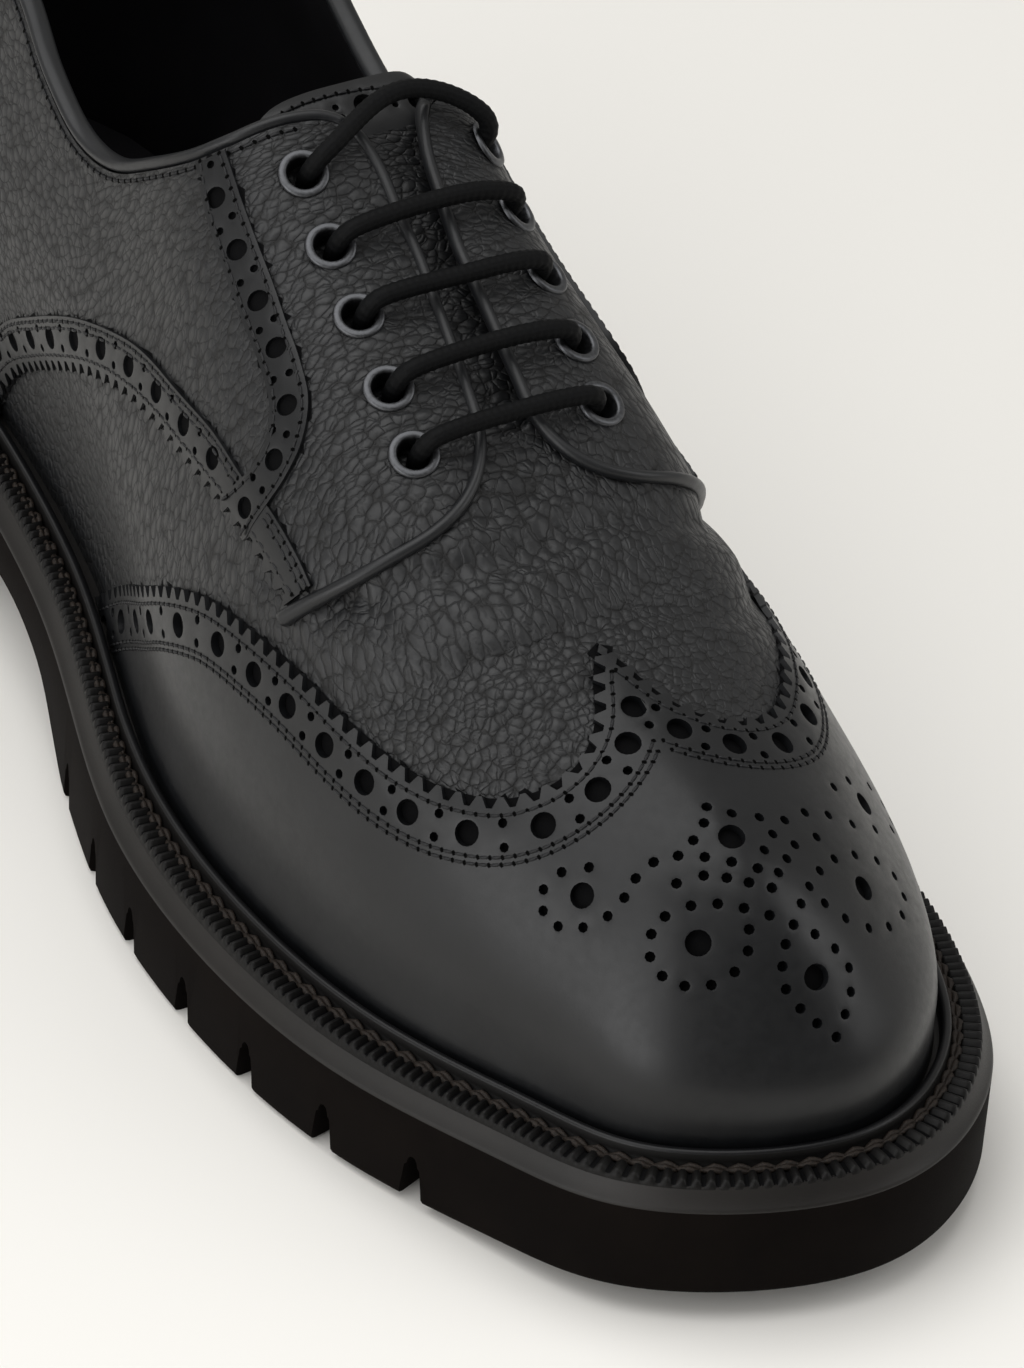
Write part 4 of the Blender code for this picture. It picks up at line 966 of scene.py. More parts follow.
# Creases across the vamp under the throat: points along each (shares of the sizes), width, depth (mm)
CREASES = [
    ([(-0.38, -0.175), (-0.16, -0.205), (0.05, -0.200), (0.26, -0.200), (0.40, -0.165)], 2.6, 0.75),
    ([(-0.34, -0.235), (-0.14, -0.252), (0.06, -0.246), (0.24, -0.250), (0.36, -0.225)], 2.4, 0.6),
    ([(-0.46, -0.135), (-0.36, -0.165), (-0.30, -0.200)], 2.0, 0.5),
    ([(0.46, -0.135), (0.37, -0.165), (0.30, -0.205)], 2.0, 0.5),
    ([(-0.10, -0.186), (0.02, -0.181), (0.14, -0.188)], 1.6, 0.45),
]


def creased(P):
    """Height of the soft troughs and ridges of the worn vamp (mm)."""
    out = np.zeros(len(P))
    for rows, wide, deep in CREASES:
        line = np.array(rows) * (BALL_WIDTH / MM, SOLE_LENGTH / MM)
        t = np.linspace(0, 1, len(line))
        u = np.linspace(0, 1, 40)
        line = np.stack([through(u, np.stack([t, line[:, i]], 1)) for i in (0, 1)], 1)
        near = np.concatenate([distance(P[i:i + 4000], line[:-1], line[1:]) for i in range(0, len(P), 4000)])
        out += -deep * np.exp(-(near / wide) ** 2) + 0.45 * deep * np.exp(-((near - 1.9 * wide) / wide) ** 2)
    return out


# ---------------------------------------------------------------- outlines
opening = np.concatenate([
    on_side(THROAT, 1, 1.5)[::-1], collar[1][2:], collar[-1][-2:1:-1], on_side(THROAT, -1, 1.5)[:-1]])
wing_in = {s: kept(wing_line[s], foot) for s in (-1, 1)}
teeth = {s: gimped(wing_in[s], -s) for s in (-1, 1)}
wing_outline = np.concatenate([
    teeth[-1][::-1], teeth[1][1:], foot_run(wing_in[1][-1], wing_in[-1][-1], True)[1:-1]])
heel_point = foot[foot[:, 1].argmax()]
low_in = {s: kept(band_low[s], foot) for s in (-1, 1)}
low_teeth = {s: gimped(low_in[s], s) for s in (-1, 1)}
quarter_outline = {}
for s in (-1, 1):
    back = np.linspace(heel_point[1] - 1, 155, 40)
    back = np.stack([centre(back) + s * 0.12, back], 1)
    quarter_outline[s] = np.concatenate([
        facing[s][:-3], low_teeth[s], foot_run(low_in[s][-1], heel_point, s < 0)[1:-1], back,
        collar[s][-2:0:-1]])
covered = [wing_outline, quarter_outline[-1], quarter_outline[1]]


def hidden(P):
    out = np.zeros(len(P), bool)
    for polygon in covered:
        out |= in_loop(P, polygon)
    return out


# Vamp faces hidden under the wing cap and quarters take the near-black material: painted shade at the bottoms
# of the perforations.
def vamp_or_hole_shade(P):
    return hidden(P).astype(np.int32)


def on_vamp(P):
    near = (P[:, 1] < -36) & (P[:, 1] > -102) & (np.abs(P[:, 0]) < 78)
    out = np.zeros(len(P), bool)
    if near.any():
        out[near] = ~hidden(P[near])
    return out


def vamp_level(P):
    """The creases fade out where another piece lies on the vamp."""
    out = creased(P)
    cover = hidden(P)
    out[cover] = np.minimum(out[cover], 0) - 0.05
    return out


def upper_net(step, fine=None):
    flat, faces = net(foot, eyelet_holes, step, fine, lines=[opening])
    return flat, faces[~in_loop(flat[faces].mean(1), opening)]


flat, faces = upper_net(2.6, on_vamp)
vamp = sheet("upper_vamp", flat, faces, vamp_level, -2.0, [PEBBLE, PAINTED_SHADE], vamp_or_hole_shade, 0.1)
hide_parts("upper")
flat, faces = upper_net(3.4)
lining = sheet("upper_lining", flat, faces, -2.0, -1.0, [LINING], None, 0.0)
lining.data.flip_normals()

# ---------------------------------------------------------------- wing cap with its medallion
BIG, SMALL = 3.4, 1.3
WING_SPOTS = [(-4, -88.7), (-8.7, -96.8), (-15.4, -100.6), (-25, -99.3), (-36, -93), (-43.7, -85.3),
              (-49.1, -76.7), (-53.3, -67.5), (-58, -58), (-62.8, -48.9), (-68, -38.2), (-76, -25.4),
              (-87, -12.5), (-98, -1.5), (-107, 12), (-114, 24)]
wing_holes = []
for s in (-1, 1):
    row = kept(own_side(beside(wing_line[s], -s * 5.6), s), foot)
    spots = np.array(WING_SPOTS, float)
    spots[:, 0] = centre(spots[:, 1]) - s * (spots[:, 0] - centre(spots[:, 1]))
    near = [np.linalg.norm(row - p, axis=1).argmin() for p in spots]
    near[0] = 0
    near = [k for i, k in enumerate(near) if i == 0 or k > near[i - 1] + 4]
    between = np.array([row[(i + j) // 2] for i, j in zip(near, near[1:])])
    wing_holes += [(*row[k], 4.0) for k in near]
    for shift in (-1.8, 1.8):
        wing_holes += [(*p, 1.55) for p in beside(between, shift)]
# Medallion on the toe: small holes in scrolls round six big ones (mm on the pattern)
SCROLL_HOLES = [
    (32.4, -104.7), (25.7, -107.5), (43.3, -102.3), (48.1, -103.7), (48.1, -106.8), (44.3, -109.6),
    (34.3, -112.7), (26.0, -113.9), (20.0, -113.4), (14.5, -113.5), (9.4, -114.9), (4.9, -114.1),
    (0.6, -112.7), (-2.5, -110.6), (-4.1, -112.9), (-6.8, -114.7), (5.7, -117.1), (9.0, -119.1),
    (2.7, -119.5), (14.5, -117.7), (6.1, -121.3), (0.3, -122.0), (-3.0, -119.9), (-6.4, -117.7),
    (-9.9, -115.8), (-13.5, -114.9), (-16.9, -115.6), (-22.2, -110.2), (-26.3, -108.3), (-30.2, -108.7),
    (-31.9, -111.3), (-30.9, -114.7), (-27.4, -117.2), (-23.2, -118.0), (-19.7, -117.1), (-12.0, -119.3),
    (-7.8, -120.1), (-4.7, -121.8), (-1.8, -123.6), (3.4, -123.3), (1.3, -125.3), (8.3, -125.9),
    (11.9, -123.4), (16.5, -121.2), (22.5, -119.8), (29.3, -119.4), (34.0, -120.9), (34.7, -124.3),
    (31.4, -128.1), (25.6, -131.0), (19.4, -132.0), (14.0, -130.9), (10.3, -128.6), (5.4, -128.4),
    (-0.5, -129.0), (-4.0, -126.8), (-7.6, -124.7), (-11.5, -123.2), (-15.7, -122.7), (-18.7, -123.9),
    (-20.4, -126.7), (-20.0, -130.1), (-17.4, -133.1), (-13.3, -134.9), (-8.9, -134.7), (-5.7, -132.7),
    (-4.4, -129.9), (2.9, -131.2), (6.3, -133.1), (9.7, -135.5), (11.9, -138.4), (11.3, -142.0),
    (9.3, -145.2), (0.7, -133.6), (-0.8, -136.5), (-1.1, -139.8), (0.8, -143.1), (3.5, -145.8),
    (6.9, -148.3),
]
EYE_HOLES = [
    (-25.2, -113.1), (-12.8, -128.5), (4.8, -139.2), (21.5, -125.4), (-1.3, -116.3), (34.7, -108.1),
]
wing_holes += [(x, y, 1.65) for x, y in SCROLL_HOLES] + [(x, y, 3.9) for x, y in EYE_HOLES]


def spaced(holes, gap=0.5):
    """Drop a hole that would run into one already placed."""
    out = []
    for x, y, across in holes:
        if all(math.hypot(x - a, y - b) > (across + c) / 2 + gap for a, b, c in out):
            out.append((x, y, across))
    return out


wing_holes = spaced(wing_holes)


def skived(line, base, drop, reach=2.6):
    """Level that thins toward an edge line."""
    def level(P):
        near = np.concatenate([distance(P[i:i + 3000], line[:-1], line[1:]) for i in range(0, len(P), 3000)])
        return base - drop * np.exp(-(near / reach) ** 2)
    return level


both = np.concatenate([wing_in[-1][::-3], wing_in[1][::3]])
flat, faces = net(wing_outline, wing_holes, 1.7)
wing = sheet("wing_cap_leather", flat, faces, skived(both, 1.35, 0.35), 0.0, [POLISH], None, 0.05)
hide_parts("wing_cap")



def notch_shade_ribbon(name, line, turn):
    """A near-black ribbon under the notches between the teeth: painted shade in the notches."""
    sides = [beside(line, turn * 2.6), beside(line, turn * 0.1)]
    points = np.vstack([form.place(side, creased(side) + 0.14)[0] for side in sides])
    n = len(line)
    ob = plain(name, points, [(i, i + 1, n + i + 1, n + i) for i in range(n - 1)], PAINTED_SHADE)


for s, name in ((-1, "lateral"), (1, "medial")):
    notch_shade_ribbon("wing_backing_" + name, wing_in[s], -s)
    notch_shade_ribbon("band_backing_" + name, low_in[s], s)

# ---------------------------------------------------------------- quarters
for s, name in ((-1, "lateral"), (1, "medial")):
    mine = [h for h in eyelet_holes if h[0] * s > 0]
    flat, faces = net(quarter_outline[s], mine, 1.9)
    trim = [np.concatenate([strip_rear[s], strip_front[s][::-1]]),
            np.concatenate([band_top[s], band_low[s][::-1]])]
    # Faces under the strip and band take the near-black material: painted shade at the bottoms of their
    # perforations.
    ob = sheet("quarter_leather_" + name, flat, faces, skived(low_in[s][::3], 1.35, 0.5), 0.0, [PEBBLE, PAINTED_SHADE],
               lambda P: (in_loop(P, trim[0]) | in_loop(P, trim[1])).astype(np.int32))
    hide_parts("quarter_" + name)

# ---------------------------------------------------------------- strips and bands
STRIP_HOLES = [(30, 4.6), (29.8, -3.8), (29.5, -12.2), (29.6, -20.1), (31.5, -28.3), (37.2, -32.6),
               (46.6, -32.4)]
band_loops = {s: np.concatenate([band_top[s], band_low[s][::-1]]) for s in (-1, 1)}
for s, name in ((-1, "lateral"), (1, "medial")):
    strip_loop = np.concatenate([strip_rear[s], strip_front[s][::-1]])
    band_loop = band_loops[s]
    spots = np.array(STRIP_HOLES)
    spots = np.stack([s * spots[:, 0] + centre(spots[:, 1]), spots[:, 1]], 1)
    first = spots[0] + (spots[0] - spots[1]) * 0.5
    between = np.vstack([first, (spots[1:] + spots[:-1]) / 2])
    run = np.gradient(np.vstack([between, spots[-1:]]), axis=0)[:-1]
    across = np.stack([-run[:, 1], run[:, 0]], 1) / np.linalg.norm(run, axis=1)[:, None]
    strip_holes = [(*p, BIG) for p in spots]
    for shift in (-1.45, 1.45):
        strip_holes += [(*p, SMALL) for p in between + across * shift]
    row = beside(low_in[s], s * 5.4)
    row = row[~in_loop(row, np.concatenate([beside(strip_rear[s], s * 3.2),
                                            beside(strip_front[s], -s * 3.2)[::-1]]))]
    row = row[row[:, 1] > -28]
    row = kept(row, foot)
    row = row[in_loop(row, band_loop)]
    spots = paced(row, 10.0, 0.30, 0.5)
    band_holes = [(*p, 3.7) for p in spots]
    between = (spots[1:] + spots[:-1]) / 2
    for shift in (-1.6, 1.6):
        band_holes += [(*p, 1.4) for p in beside(between, shift)]
    flat, faces = net(quarter_outline[s], spaced(strip_holes + band_holes), 1.9,
                      lines=[strip_loop[in_loop(strip_loop, quarter_outline[s])],
                             band_loop[in_loop(band_loop, quarter_outline[s])]])
    middle = flat[faces].mean(1)
    in_strip = in_loop(middle, strip_loop)
    in_band = in_loop(middle, band_loop) & ~in_strip
    ob = sheet("strip_leather_" + name, flat, faces[in_strip], skived(low_in[s][::3], 2.15, 0.6), 1.0,
               [POLISH],
               None, 0.05)
    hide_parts("strip_" + name)
    ob = sheet("band_leather_" + name, flat, faces[in_band], skived(low_in[s][::3], 2.05, 0.6), 1.0, [POLISH],
               None, 0.05)
    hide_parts("band_" + name, "band_end_" + name)

# ---------------------------------------------------------------- sewing
rows = []
for s in (-1, 1):
    line = wing_line[s]
    rows.append((kept(own_side(beside(line, -s * 2.7), s), foot), 1.2))
    for inset in (8.9, 10.0):
        rows.append((kept(own_side(beside(line, -s * inset), s), foot), 1.35))
    collar_row = beside(collar[s], -s * 1.1)
    rows.append((collar_row[8:-2], 1.35))
    for line, turn in ((strip_rear[s], -s), (strip_front[s], s)):
        row = beside(line, turn * 0.9)
        rows.append((kept(row, quarter_outline[s]), 2.1))
    strip_loop = np.concatenate([strip_rear[s], strip_front[s][::-1]])
    for inset in (0.8, 1.9):
        row = beside(band_top[s], -s * inset)
        rows += [(part, 2.0) for part in runs(row[in_loop(row, foot)], strip_loop)]
    rows += [(part, 1.75) for part in runs(beside(low_in[s], s * 2.7), strip_loop)]
    back = np.linspace(158, heel_point[1] - 6, 60)
    rows.append((np.stack([centre(back) + s * 1.4, back], 1), 1.35))
top_row = np.array([(-18, 7.9), (-12.5, 9.5), (-6.5, 10.0), (0, 10.1), (5.6, 9.6), (10.2, 8.6), (15, 6.8)])
x = np.linspace(-18, 15, 60)
rows.append((np.stack([x, np.interp(x, top_row[:, 0], top_row[:, 1])], 1), -3.2))
rows = [(line, high) for line, high in rows if len(line) > 6]
sewing = stitches("seam_stitches", rows, [SEWING, NEEDLE_HOLE_SHADE])

# ---------------------------------------------------------------- tongue
TONGUE_SHAPE = [(0, 0.0395), (0.080, 0.0390), (0.155, 0.0365), (0.215, 0.0300), (0.250, 0.0180),
                (0.245, -0.004)] + TONGUE[5:]
tongue_loop = np.concatenate([on_side(TONGUE_SHAPE, 1, 1.5), on_side(TONGUE_SHAPE, -1, 1.5)[-2:0:-1]])
tongue_holes = [(-15.2, 5.2, 3.7), (-6.1, 6.7, 3.7), (3.3, 7.5, 3.7), (12.6, 6.6, 3.7)]
for x, y in ((-10.7, 6.1), (-1.4, 7.2), (8.0, 7.2)):
    tongue_holes += [(x - 0.2, y + 0.85, 1.2), (x + 0.2, y - 0.85, 1.2)]
flat, faces = net(tongue_loop, spaced(tongue_holes), 1.7)


def tongue_level(P):
    edge = np.concatenate([distance(P[i:i + 3000], tongue_loop, np.roll(tongue_loop, -1, 0))
                           for i in range(0, len(P), 3000)])
    return -3.2 - 1.0 * np.exp(-(edge / 1.4) ** 2)


tongue = sheet("tongue_leather", flat, faces, tongue_level, -5.7, [PEBBLE, POLISH],
               lambda P: (P[:, 1] > 2.5).astype(np.int32), 0.1)
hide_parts("tongue")
flat, faces = net(tongue_loop, (), 3.0)
under = sheet("tongue_lining", flat, faces, -5.7, -5.2, [LINING], None, 0.0)
under.data.flip_normals()

# ---------------------------------------------------------------- collar roll and facing piping
half = {s: np.vstack([on_side(facing_rows, s, 0.8)[-2::-1], on_side(collar_rows[s], s, 0.8)[1:]])
        for s in (-1, 1)}
rim = np.vstack([half[-1], half[1][-2::-1]])
corners = [len(on_side(facing_rows, -1, 0.8)) - 2, len(rim) - len(on_side(facing_rows, 1, 0.8)) + 1]
d = np.gradient(rim, axis=0)
n = np.stack([-d[:, 1], d[:, 0]], 1) / np.linalg.norm(d, axis=1)[:, None]
run = np.arange(len(rim)) * 0.8
on_collar = (np.clip((run - run[corners[0]]) / 8 + 0.5, 0, 1)
             * np.clip((run[corners[1]] - run) / 8 + 0.5, 0, 1))
front = np.clip((np.minimum(run, run[-1] - run) - 2) / 25, 0, 1)
away = -0.9 - 0.15 * on_collar
level = 0.80 - 1.1 * on_collar
wide = 2.0 + 0.4 * on_collar + 0.7 * (1 - front)
tall = 2.3 + 1.5 * on_collar + 0.7 * (1 - front)
P, up = form.place(rim + n * away[:, None], level)
for _ in range(4):
    P[1:-1] = (P[:-2] + 2 * P[1:-1] + P[2:]) / 4
    up[1:-1] = (up[:-2] + 2 * up[1:-1] + up[2:]) / 4
P, side, up = frames(P, up)
for name, node_name, start, end in (
        ("facing_piping_lateral", "piping_lateral", 0, corners[0]),
        ("collar_roll", "collar_binding", corners[0], corners[1]),
        ("facing_piping_medial", "piping_medial", corners[1], len(rim) - 1)):
    part = slice(start, end + 1)
    sections = [oval(w, t, 20) for w, t in zip(wide[part], tall[part])]
    points, faces = sweep((P[part], side[part], up[part]), sections)
    ob = plain(name, points, faces, ROLLED)
    outward(ob.data)
    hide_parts(node_name)

# ---------------------------------------------------------------- eyelets
RING = np.array([(2.55, -3.4), (2.55, -0.6), (2.60, 0.10), (2.70, 0.36), (2.86, 0.50), (3.20, 0.56),
                 (3.60, 0.52), (3.84, 0.42), (3.98, 0.22), (4.02, -0.1)])
for s, name in ((-1, "lateral"), (1, "medial")):
    for number, y in enumerate(EYELETS, 1):
        spot = on_side([(EYELET_ACROSS, y), (EYELET_ACROSS, y - 0.01)], s, 10)[:1]
        at, normal = form.place(spot, 1.35)
        turn = Vector(normal[0]).to_track_quat("Z", "Y").to_matrix()
        n = 56
        points = []
        for r, h in RING:
            for i in range(n):
                a = i * 2 * math.pi / n
                v = turn @ Vector((r * math.cos(a), r * math.sin(a), h)) * MM
                points.append(np.array(at[0]) + np.array(v))
        faces = [(k*n + i, k*n + (i + 1) % n, (k + 1)*n + (i + 1) % n, (k + 1)*n + i)
                 for k in range(len(RING) - 1) for i in range(n)]
        ob = plain("eyelet_ring_%s_%d" % (name, number), points, faces, METAL)
        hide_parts("eyelet_%s_%d" % (name, number))

# ---------------------------------------------------------------- laces
LACE_HEIGHT = GAP + OVERLAY + CORD / 2 + 2.25
THICK = 3.1
BOWS = [6.0, 0.7, -0.3, 0.5, 0.2]
for number, y in enumerate(EYELETS, 1):
    half = np.array([(0.07, -0.75), (0.055, -0.35), (0.06, -0.05), (0.075, 0.33), (0.12, 0.66), (0.20, 0.86),
                     (0.38, 0.93), (0.7, 0.95), (1.0, 0.95)])
    across = np.concatenate([-1 + half[:, 0], 1 - half[-2::-1, 0]]) * across_mm(EYELET_ACROSS)
    high = np.concatenate([half[:, 1], half[-2::-1, 1]]) * LACE_HEIGHT
    level = y * SOLE_LENGTH / MM
    line = np.stack([across + float(centre(level)), np.full(len(across), level)], 1)
    t = np.linspace(0, 1, len(line))
    u = np.linspace(0, 1, 90)
    high = through(u, np.stack([t, high], 1))
    line = np.stack([through(u, np.stack([t, line[:, i]], 1)) for i in (0, 1)], 1)
    share_across = (line[:, 0] - line[0, 0]) / (line[-1, 0] - line[0, 0])
    line[:, 1] += BOWS[number - 1] * np.sin(math.pi * np.clip(share_across, 0, 1) ** 1.25)
    P, up = form.place(line, high)
    P = evenly(P, 190, closed=False)
    for _ in range(6):
        P[1:-1] = (P[:-2] + 2 * P[1:-1] + P[2:]) / 4
    d = np.gradient(P, axis=0)
    d /= np.linalg.norm(d, axis=1)[:, None]
    ahead = np.tile(np.array([0.0, 1.0, 0.0]), (len(P), 1))
    side = ahead - (ahead * d).sum(1)[:, None] * d
    side /= np.linalg.norm(side, axis=1)[:, None]
    up = np.cross(d, side)
    length = np.r_[0, np.cumsum(np.linalg.norm(np.diff(P, axis=0), axis=1))] / MM
    n = 36
    a = np.arange(n) * 2 * math.pi / n
    sections = []
    for x in length:
        weave = np.cos(6 * a + 2 * math.pi * x / 2.6) * np.cos(6 * a - 2 * math.pi * x / 2.6)
        r = (THICK / 2 - 0.09 + 0.09 * weave) * MM
        sections.append(np.stack([np.cos(a) * r, np.sin(a) * r], 1))
    points, faces = sweep((P, side, up), sections)
    ob = plain("lace_cord_%d" % number, points, faces, CORD_LOOK)
    outward(ob.data)
    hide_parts("lace_%d" % number)

# ---------------------------------------------------------------- storm welt
around = 2220
foot_line = evenly(form.feather, around)
normals = plan_normals(foot_line)
edge = sole_outline(2000)
out_line = edge - plan_normals(edge) * (BEVEL_IN - 1.3) * MM
tree = KDTree(len(out_line))
for i, p in enumerate(out_line):
    tree.insert((p[0], p[1], 0), i)
tree.balance()
reach = np.array([tree.find((p[0], p[1], 0))[2] for p in foot_line]) / MM
top_z = sole_top(share(foot_line)) / MM
outer = reach + 0.25
SECTION = [(2.15, 0.0), (2.15, 1.9), (2.3, 2.7), (2.7, 3.1), (3.2, 3.2), (3.6, 3.1), (3.78, 2.75),
           (3.85, 1.6), (4.0, 0.3)]
phase = np.arange(around) % 6
ribs = np.array([0.0, 0.2, 0.85, 0.95, 0.85, 0.2])[phase]
columns = []
stand = np.clip(outer + BEVEL_IN - 1.3 - 0.25 - PLAIN_WELT, 0, FLARE_MOST)
for _ in range(60):
    stand = (np.roll(stand, 1) + 2 * stand + np.roll(stand, -1)) / 4
for d, h in SECTION:
    columns.append(np.c_[foot_line + normals * ((d + stand) * MM)[:, None], (top_z + h) * MM])
for k, (u, h) in enumerate([(3.4, 0.15), (3.25, 0.55), (2.9, 0.75), (0.9, 0.75), (0.3, 0.65), (0.0, 0.35),
                            (0.0, -0.5)]):
    far = np.maximum(outer - u, 4.3 + stand + 0.06 * k)
    xy = foot_line + normals * (far * MM)[:, None]
    rise = ribs * (1.0 if 1 <= k <= 4 else 0.0)
    columns.append(np.c_[xy, (top_z + h + rise - 0.15) * MM])
k = len(columns)
points = np.stack(columns, 1).reshape(-1, 3)
faces = [(i*k + j, ((i + 1) % around)*k + j, ((i + 1) % around)*k + j + 1, i*k + j + 1)
         for i in range(around) for j in range(k - 1)]
welt = plain("storm_welt", points, faces, RIB)
welt.data.materials.append(WELT)
welt.data.materials.append(PAINTED_SHADE)
index = np.tile(np.array([0] * 6 + [1] * (k - 7)), (around, 1))
# Faces in the knurl's grooves take the near-black material: painted shade in the grooves.
index[(phase == 0) | (phase == 5), 8:13] = 2
index = index.ravel().astype(np.int32)
welt.data.polygons.foreach_set("material_index", index)
outward(welt.data)
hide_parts("welt")
chain = np.c_[foot_line + normals * (np.maximum(outer - 4.3, 4.85 + stand) * MM)[:, None],
              (top_z + 0.75) * MM]
chain = np.vstack([chain, chain[:1]])
length = np.linalg.norm(np.diff(chain, axis=0), axis=1).sum()
links = int(length / (3.6 * MM))
chain = evenly(chain[:-1], links * 2)
P, side, up = frames(chain, np.tile(np.array([0.0, 0.0, 1.0]), (len(chain), 1)), closed=True)
bead = [(-1.0, 0.15), (-0.8, 0.62), (-0.4, 0.95), (0.0, 1.0), (0.4, 0.95), (0.8, 0.62), (1.0, 0.15)]
points, faces = [], []
for lane in (-1, 1):
    rings = [(u * 0.62, lane * (0.46 - 0.40 * u * u), 0.35 * (1 - abs(u)) - 0.3 * (lane * u > 0.3),
              0.52 * w, 0.52 * w)
             for u, w in bead]
    more, quads = tube(rings, 8, len(points))
    points += more
    faces += quads
turning = np.roll(np.arange(0, len(P), 2), -1)
lock = repeated("welt_lock_stitch", P[::2], P[turning], up[::2], (points, faces), [LOCK], [0] * len(faces))

# ---------------------------------------------------------------- sole
count = 190
wide_edge = sole_outline(4000)
wide_normals = plan_normals(wide_edge)


def loop_at(inset):
    return ring(wide_edge - wide_normals * inset * MM, count)


rings = []
DOWN = 0.76 * BEVEL_DOWN
for inset, where, h in ((1.1, 0, 0.0), (0.35, 0, 0.25), (0.0, 0, 1.0), (0.0, 1, -DOWN - 0.1),
                        (0.10, 1, -DOWN + 0.3), (0.35, 1, -DOWN + 0.6), (0.75, 1, -DOWN * 0.70),
                        (1.4, 1, -DOWN * 0.40), (1.95, 1, -DOWN * 0.10), (2.15, 1, 0.0), (2.6, 1, 0.0)):
    P = loop_at(inset)
    z = underside(share(P)) + h if where == 0 else sole_top(share(P)) / MM - GAP + h
    rings.append(np.c_[P, z * MM])
points, faces = stack(rings)
mesh = bpy.data.meshes.new("outsole_rubber")
mesh.from_pydata(points.tolist(), [], [tuple(map(int, f)) for f in faces])
outward(mesh)


def slot_cutter(at, turn, low, high):
    """Cutter of a lug slot: straight flanks that close to a rounded point at the top."""
    w = SLOT_WIDTH / 2
    side = [(1.42, -30.0), (1.18, 0.0), (1.0, 0.35), (0.82, 0.70), (0.74, 0.80), (0.52, 0.84),
            (0.48, 0.93), (0.28, 1.02)]
    high *= 1.14
    shape = [(-w * u, v if v < -1 else v * high) for u, v in side] + [(0, 1.05 * high)]
    shape += [(w * u, v if v < -1 else v * high) for u, v in side[::-1]]
    out = Vector((math.cos(turn), math.sin(turn), 0))
    over = Vector((-math.sin(turn), math.cos(turn), 0))
    ends = []
    for depth in (-6.0, 8.0):
        ends.append([Vector((at[0], at[1], low * MM)) + out * depth * MM + over * u * MM
                     + Vector((0, 0, v * MM))
                     for u, v in shape])
    n = len(shape)
    points = [tuple(v) for v in ends[0] + ends[1]]
    faces = [tuple(range(n)), tuple(range(n, 2 * n))[::-1]]
    faces += [(i, n + i, n + (i + 1) % n, (i + 1) % n) for i in range(n)]
    return points, faces


def carve(mesh, cutters):
    """The mesh with every cutter taken out of it."""
    body = bpy.data.objects.new("carved", mesh)
    bpy.context.scene.collection.objects.link(body)
    group = bpy.data.collections.new("cutters")
    made = []
    for points, faces in cutters:
        cut = bpy.data.meshes.new("cut")
        cut.from_pydata([tuple(map(float, p)) for p in points], [], [tuple(map(int, f)) for f in faces])
        outward(cut)
        ob = bpy.data.objects.new("cut", cut)
        group.objects.link(ob)
        made.append(ob)
    bpy.context.scene.collection.children.link(group)
    mod = body.modifiers.new("cut", "BOOLEAN")
    mod.operand_type, mod.collection, mod.solver = "COLLECTION", group, "EXACT"
    out = bpy.data.meshes.new_from_object(body.evaluated_get(bpy.context.evaluated_depsgraph_get()))
    for ob in made + [body]:
        bpy.data.objects.remove(ob)
    bpy.data.collections.remove(group)
    return out


cutters = []
for side_sign in (-1, 1):
    for s in SLOTS:
        p, n = at_share(s, side_sign)
        cutters.append(slot_cutter(p, math.atan2(n[1], n[0]), float(underside(np.array([s]))[0]), LUG_HEIGHT))


def prism(loop, low, high):
    n = len(loop)
    points = [(*p, low) for p in loop] + [(*p, high) for p in loop]
    faces = [tuple(range(n)), tuple(range(n, 2 * n))[::-1]]
    faces += [(i, n + i, n + (i + 1) % n, (i + 1) % n) for i in range(n)]
    return points, faces


GROOVE = (12.0, 16.0, 5.0)
loops_in = []
for inset, start in ((GROOVE[0], 0.500), (GROOVE[1], 0.514)):
    line = evenly(wide_edge - wide_normals * inset * MM, 1440)
    line = line[share(line) > start]
    line = np.roll(line, -line[:, 1].argmin(), 0)
    loops_in.append(evenly(line, 120))
points = []
for i in range(120):
    for loop, high in ((0, False), (1, False), (1, True), (0, True)):
        p = loops_in[loop][i]
        z = float(underside(share(p))) + GROOVE[2] if high else -15.0
        points.append((p[0], p[1], z * MM))
faces = [(i*4 + j, ((i + 1) % 120)*4 + j, ((i + 1) % 120)*4 + (j + 1) % 4, i*4 + (j + 1) % 4)
         for i in range(120) for j in range(4)]
cutters.append((points, faces))
for s in (0.577, 0.646, 0.716, 0.786, 0.856):
    half = (0.24 if s < 0.85 else 0.18) * BALL_WIDTH
    y, x = (0.5 - s) * SOLE_LENGTH, 0.018 * BALL_WIDTH
    loop = [(x - half, y - 0.0021), (x + half, y - 0.0021), (x + half, y + 0.0021), (x - half, y + 0.0021)]
    cutters.append(prism(loop, -0.02, (float(underside(np.array([s]))[0]) + 5.0) * MM))
sole_mesh = carve(mesh, cutters)
sole_mesh.materials.append(RUBBER)
sole_mesh.materials.append(LIT_BEVEL)
sole_mesh.name = "outsole_rubber"
sole = piece("outsole_rubber", sole_mesh)
# Faces near the top of the sole's edge take the lighter bevel material: painted light.
for polygon in sole_mesh.polygons:
    c = polygon.center
    depth = (sole_top(np.array([0.5 - c[1] / SOLE_LENGTH]))[0] - c[2]) / MM
    polygon.material_index = 1 if depth < DOWN + 0.55 and polygon.normal.z > -0.3 else 0
sole_mesh.shade_smooth()
sole_mesh.set_sharp_from_angle(angle=math.radians(32))
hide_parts("outsole")

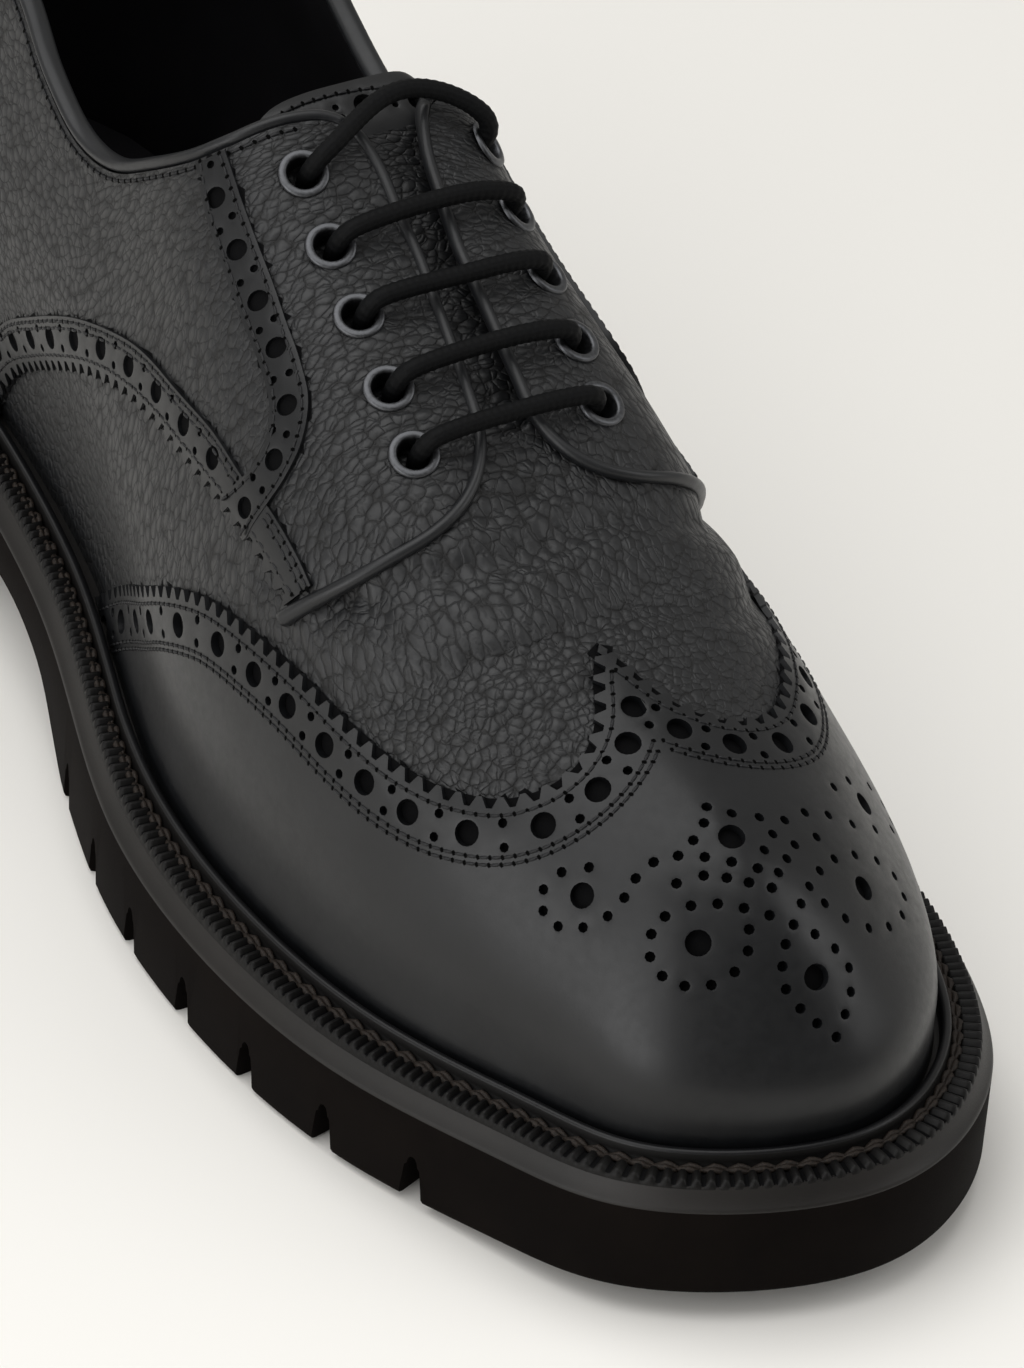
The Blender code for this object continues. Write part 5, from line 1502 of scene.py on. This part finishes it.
# Heel
rings = []
for inset, z in ((1.3, 0.0), (0.75, 0.12), (0.4, 0.7), (0.4, HEEL_HEIGHT - 0.4), (0.7, HEEL_HEIGHT)):
    line = wide_edge - wide_normals * inset * MM
    back = line[share(line) < HEEL_BREAST - (inset - 0.4) * 0.002]
    back = evenly(back, 160, closed=False)
    rings.append(np.c_[back, np.full(len(back), z * MM)])
n = 160
points = np.vstack(rings)
faces = [tuple(range(n))[::-1], tuple(range(4 * n, 5 * n))]
faces += [(r*n + i, r*n + (i + 1) % n, (r + 1)*n + (i + 1) % n, (r + 1)*n + i) for r in range(4)
          for i in range(n)]
mesh = bpy.data.meshes.new("heel_rubber")
mesh.from_pydata(points.tolist(), [], faces)
outward(mesh)
cutters = []
for side_sign in (-1, 1):
    for s in HEEL_SLOTS:
        p, nn = at_share(s, side_sign)
        cutters.append(slot_cutter(p, math.atan2(nn[1], nn[0]), 0.0, LUG_HEIGHT))
for s, half in ((0.225, 0.21), (0.155, 0.20), (0.09, 0.16)):
    y, x = (0.5 - s) * SOLE_LENGTH, 0.01 * BALL_WIDTH
    w = half * BALL_WIDTH
    cutters.append(prism([(x - w, y - 0.0018), (x + w, y - 0.0018), (x + w, y + 0.0018),
                          (x - w, y + 0.0018)], -0.02, 0.0035))
heel_mesh = carve(mesh, cutters)
heel_mesh.materials.append(RUBBER)
heel_mesh.name = "heel_rubber"
heel = piece("heel_rubber", heel_mesh)
heel_mesh.shade_smooth()
heel_mesh.set_sharp_from_angle(angle=math.radians(32))
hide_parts("heel")

# ---------------------------------------------------------------- CAD nodes kept, floor, light, camera
for name in ("insole",):
    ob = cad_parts[name]
    for slot in ob.material_slots:
        slot.material = LINING

bpy.ops.mesh.primitive_plane_add(size=6.0, location=(0, 0, 0))
floor = bpy.context.object
floor.name = "studio_floor"
floor.data.materials.append(surface(
    "pale_studio_paper", {"tone": (0.002, 2.0)}, ("tone", 0.0, 1.0, "#f1efea", "#f4f2ee"), 0.85,
    specular=0.2))

world = bpy.data.worlds.new("studio")
world.use_nodes = True
world.node_tree.nodes["Background"].inputs[0].default_value = colour("#f4f2ee")
sky = world.node_tree
way = node(sky, "SeparateXYZ", [(0, node(sky, "TexCoord").outputs["Generated"])]).outputs["Y"]
glow = node(sky, "MapRange", [(0, way), (1, -0.75), (2, 0.2), (3, 0.24), (4, 0.44)]).outputs[0]
sky.links.new(glow, sky.nodes["Background"].inputs[1])
bpy.context.scene.world = world
bpy.context.scene.view_settings.view_transform = "Standard"


def lamp(name, at, target, size, power):
    data = bpy.data.lights.new(name, "AREA")
    data.shape = "RECTANGLE"
    data.size, data.size_y = size
    data.energy = power
    ob = bpy.data.objects.new(name, data)
    bpy.context.scene.collection.objects.link(ob)
    ob.location = at
    ob.rotation_euler = (Vector(target) - Vector(at)).to_track_quat("-Z", "Y").to_euler()


lamp("soft_top", (-0.25, 0.15, 1.2), (0, 0, 0.05), (1.4, 1.4), 11.5)
lamp("soft_left", (-1.1, -0.5, 0.55), (0, 0, 0.06), (0.9, 1.2), 5)
lamp("soft_low", (-1.0, -0.15, 0.24), (0, -0.05, 0.04), (1.2, 0.3), 2.4)
lamp("soft_right", (1.0, -0.7, 0.8), (0, 0, 0.05), (0.7, 1.0), 4)

az, el, roll, dist = -0.571, 0.6353, 0.0821, 1.2017
target = np.array((-0.0092, -0.0657, 0.0599))
back = np.array((math.sin(az) * math.cos(el), -math.cos(az) * math.cos(el), math.sin(el)))
right = np.array((math.cos(az), math.sin(az), 0.0))
up = np.cross(back, right)
r = math.cos(roll) * right + math.sin(roll) * up
u = -math.sin(roll) * right + math.cos(roll) * up
data = bpy.data.cameras.new("camera")
data.sensor_width = 36
data.lens = 36 * 7950 / 1368
camera = bpy.data.objects.new("camera", data)
bpy.context.scene.collection.objects.link(camera)
where = target + back * dist
camera.matrix_world = Matrix(((r[0], u[0], back[0], where[0]), (r[1], u[1], back[1], where[1]),
                              (r[2], u[2], back[2], where[2]), (0, 0, 0, 1)))
data.clip_start, data.clip_end = 0.05, 20
bpy.context.scene.camera = camera
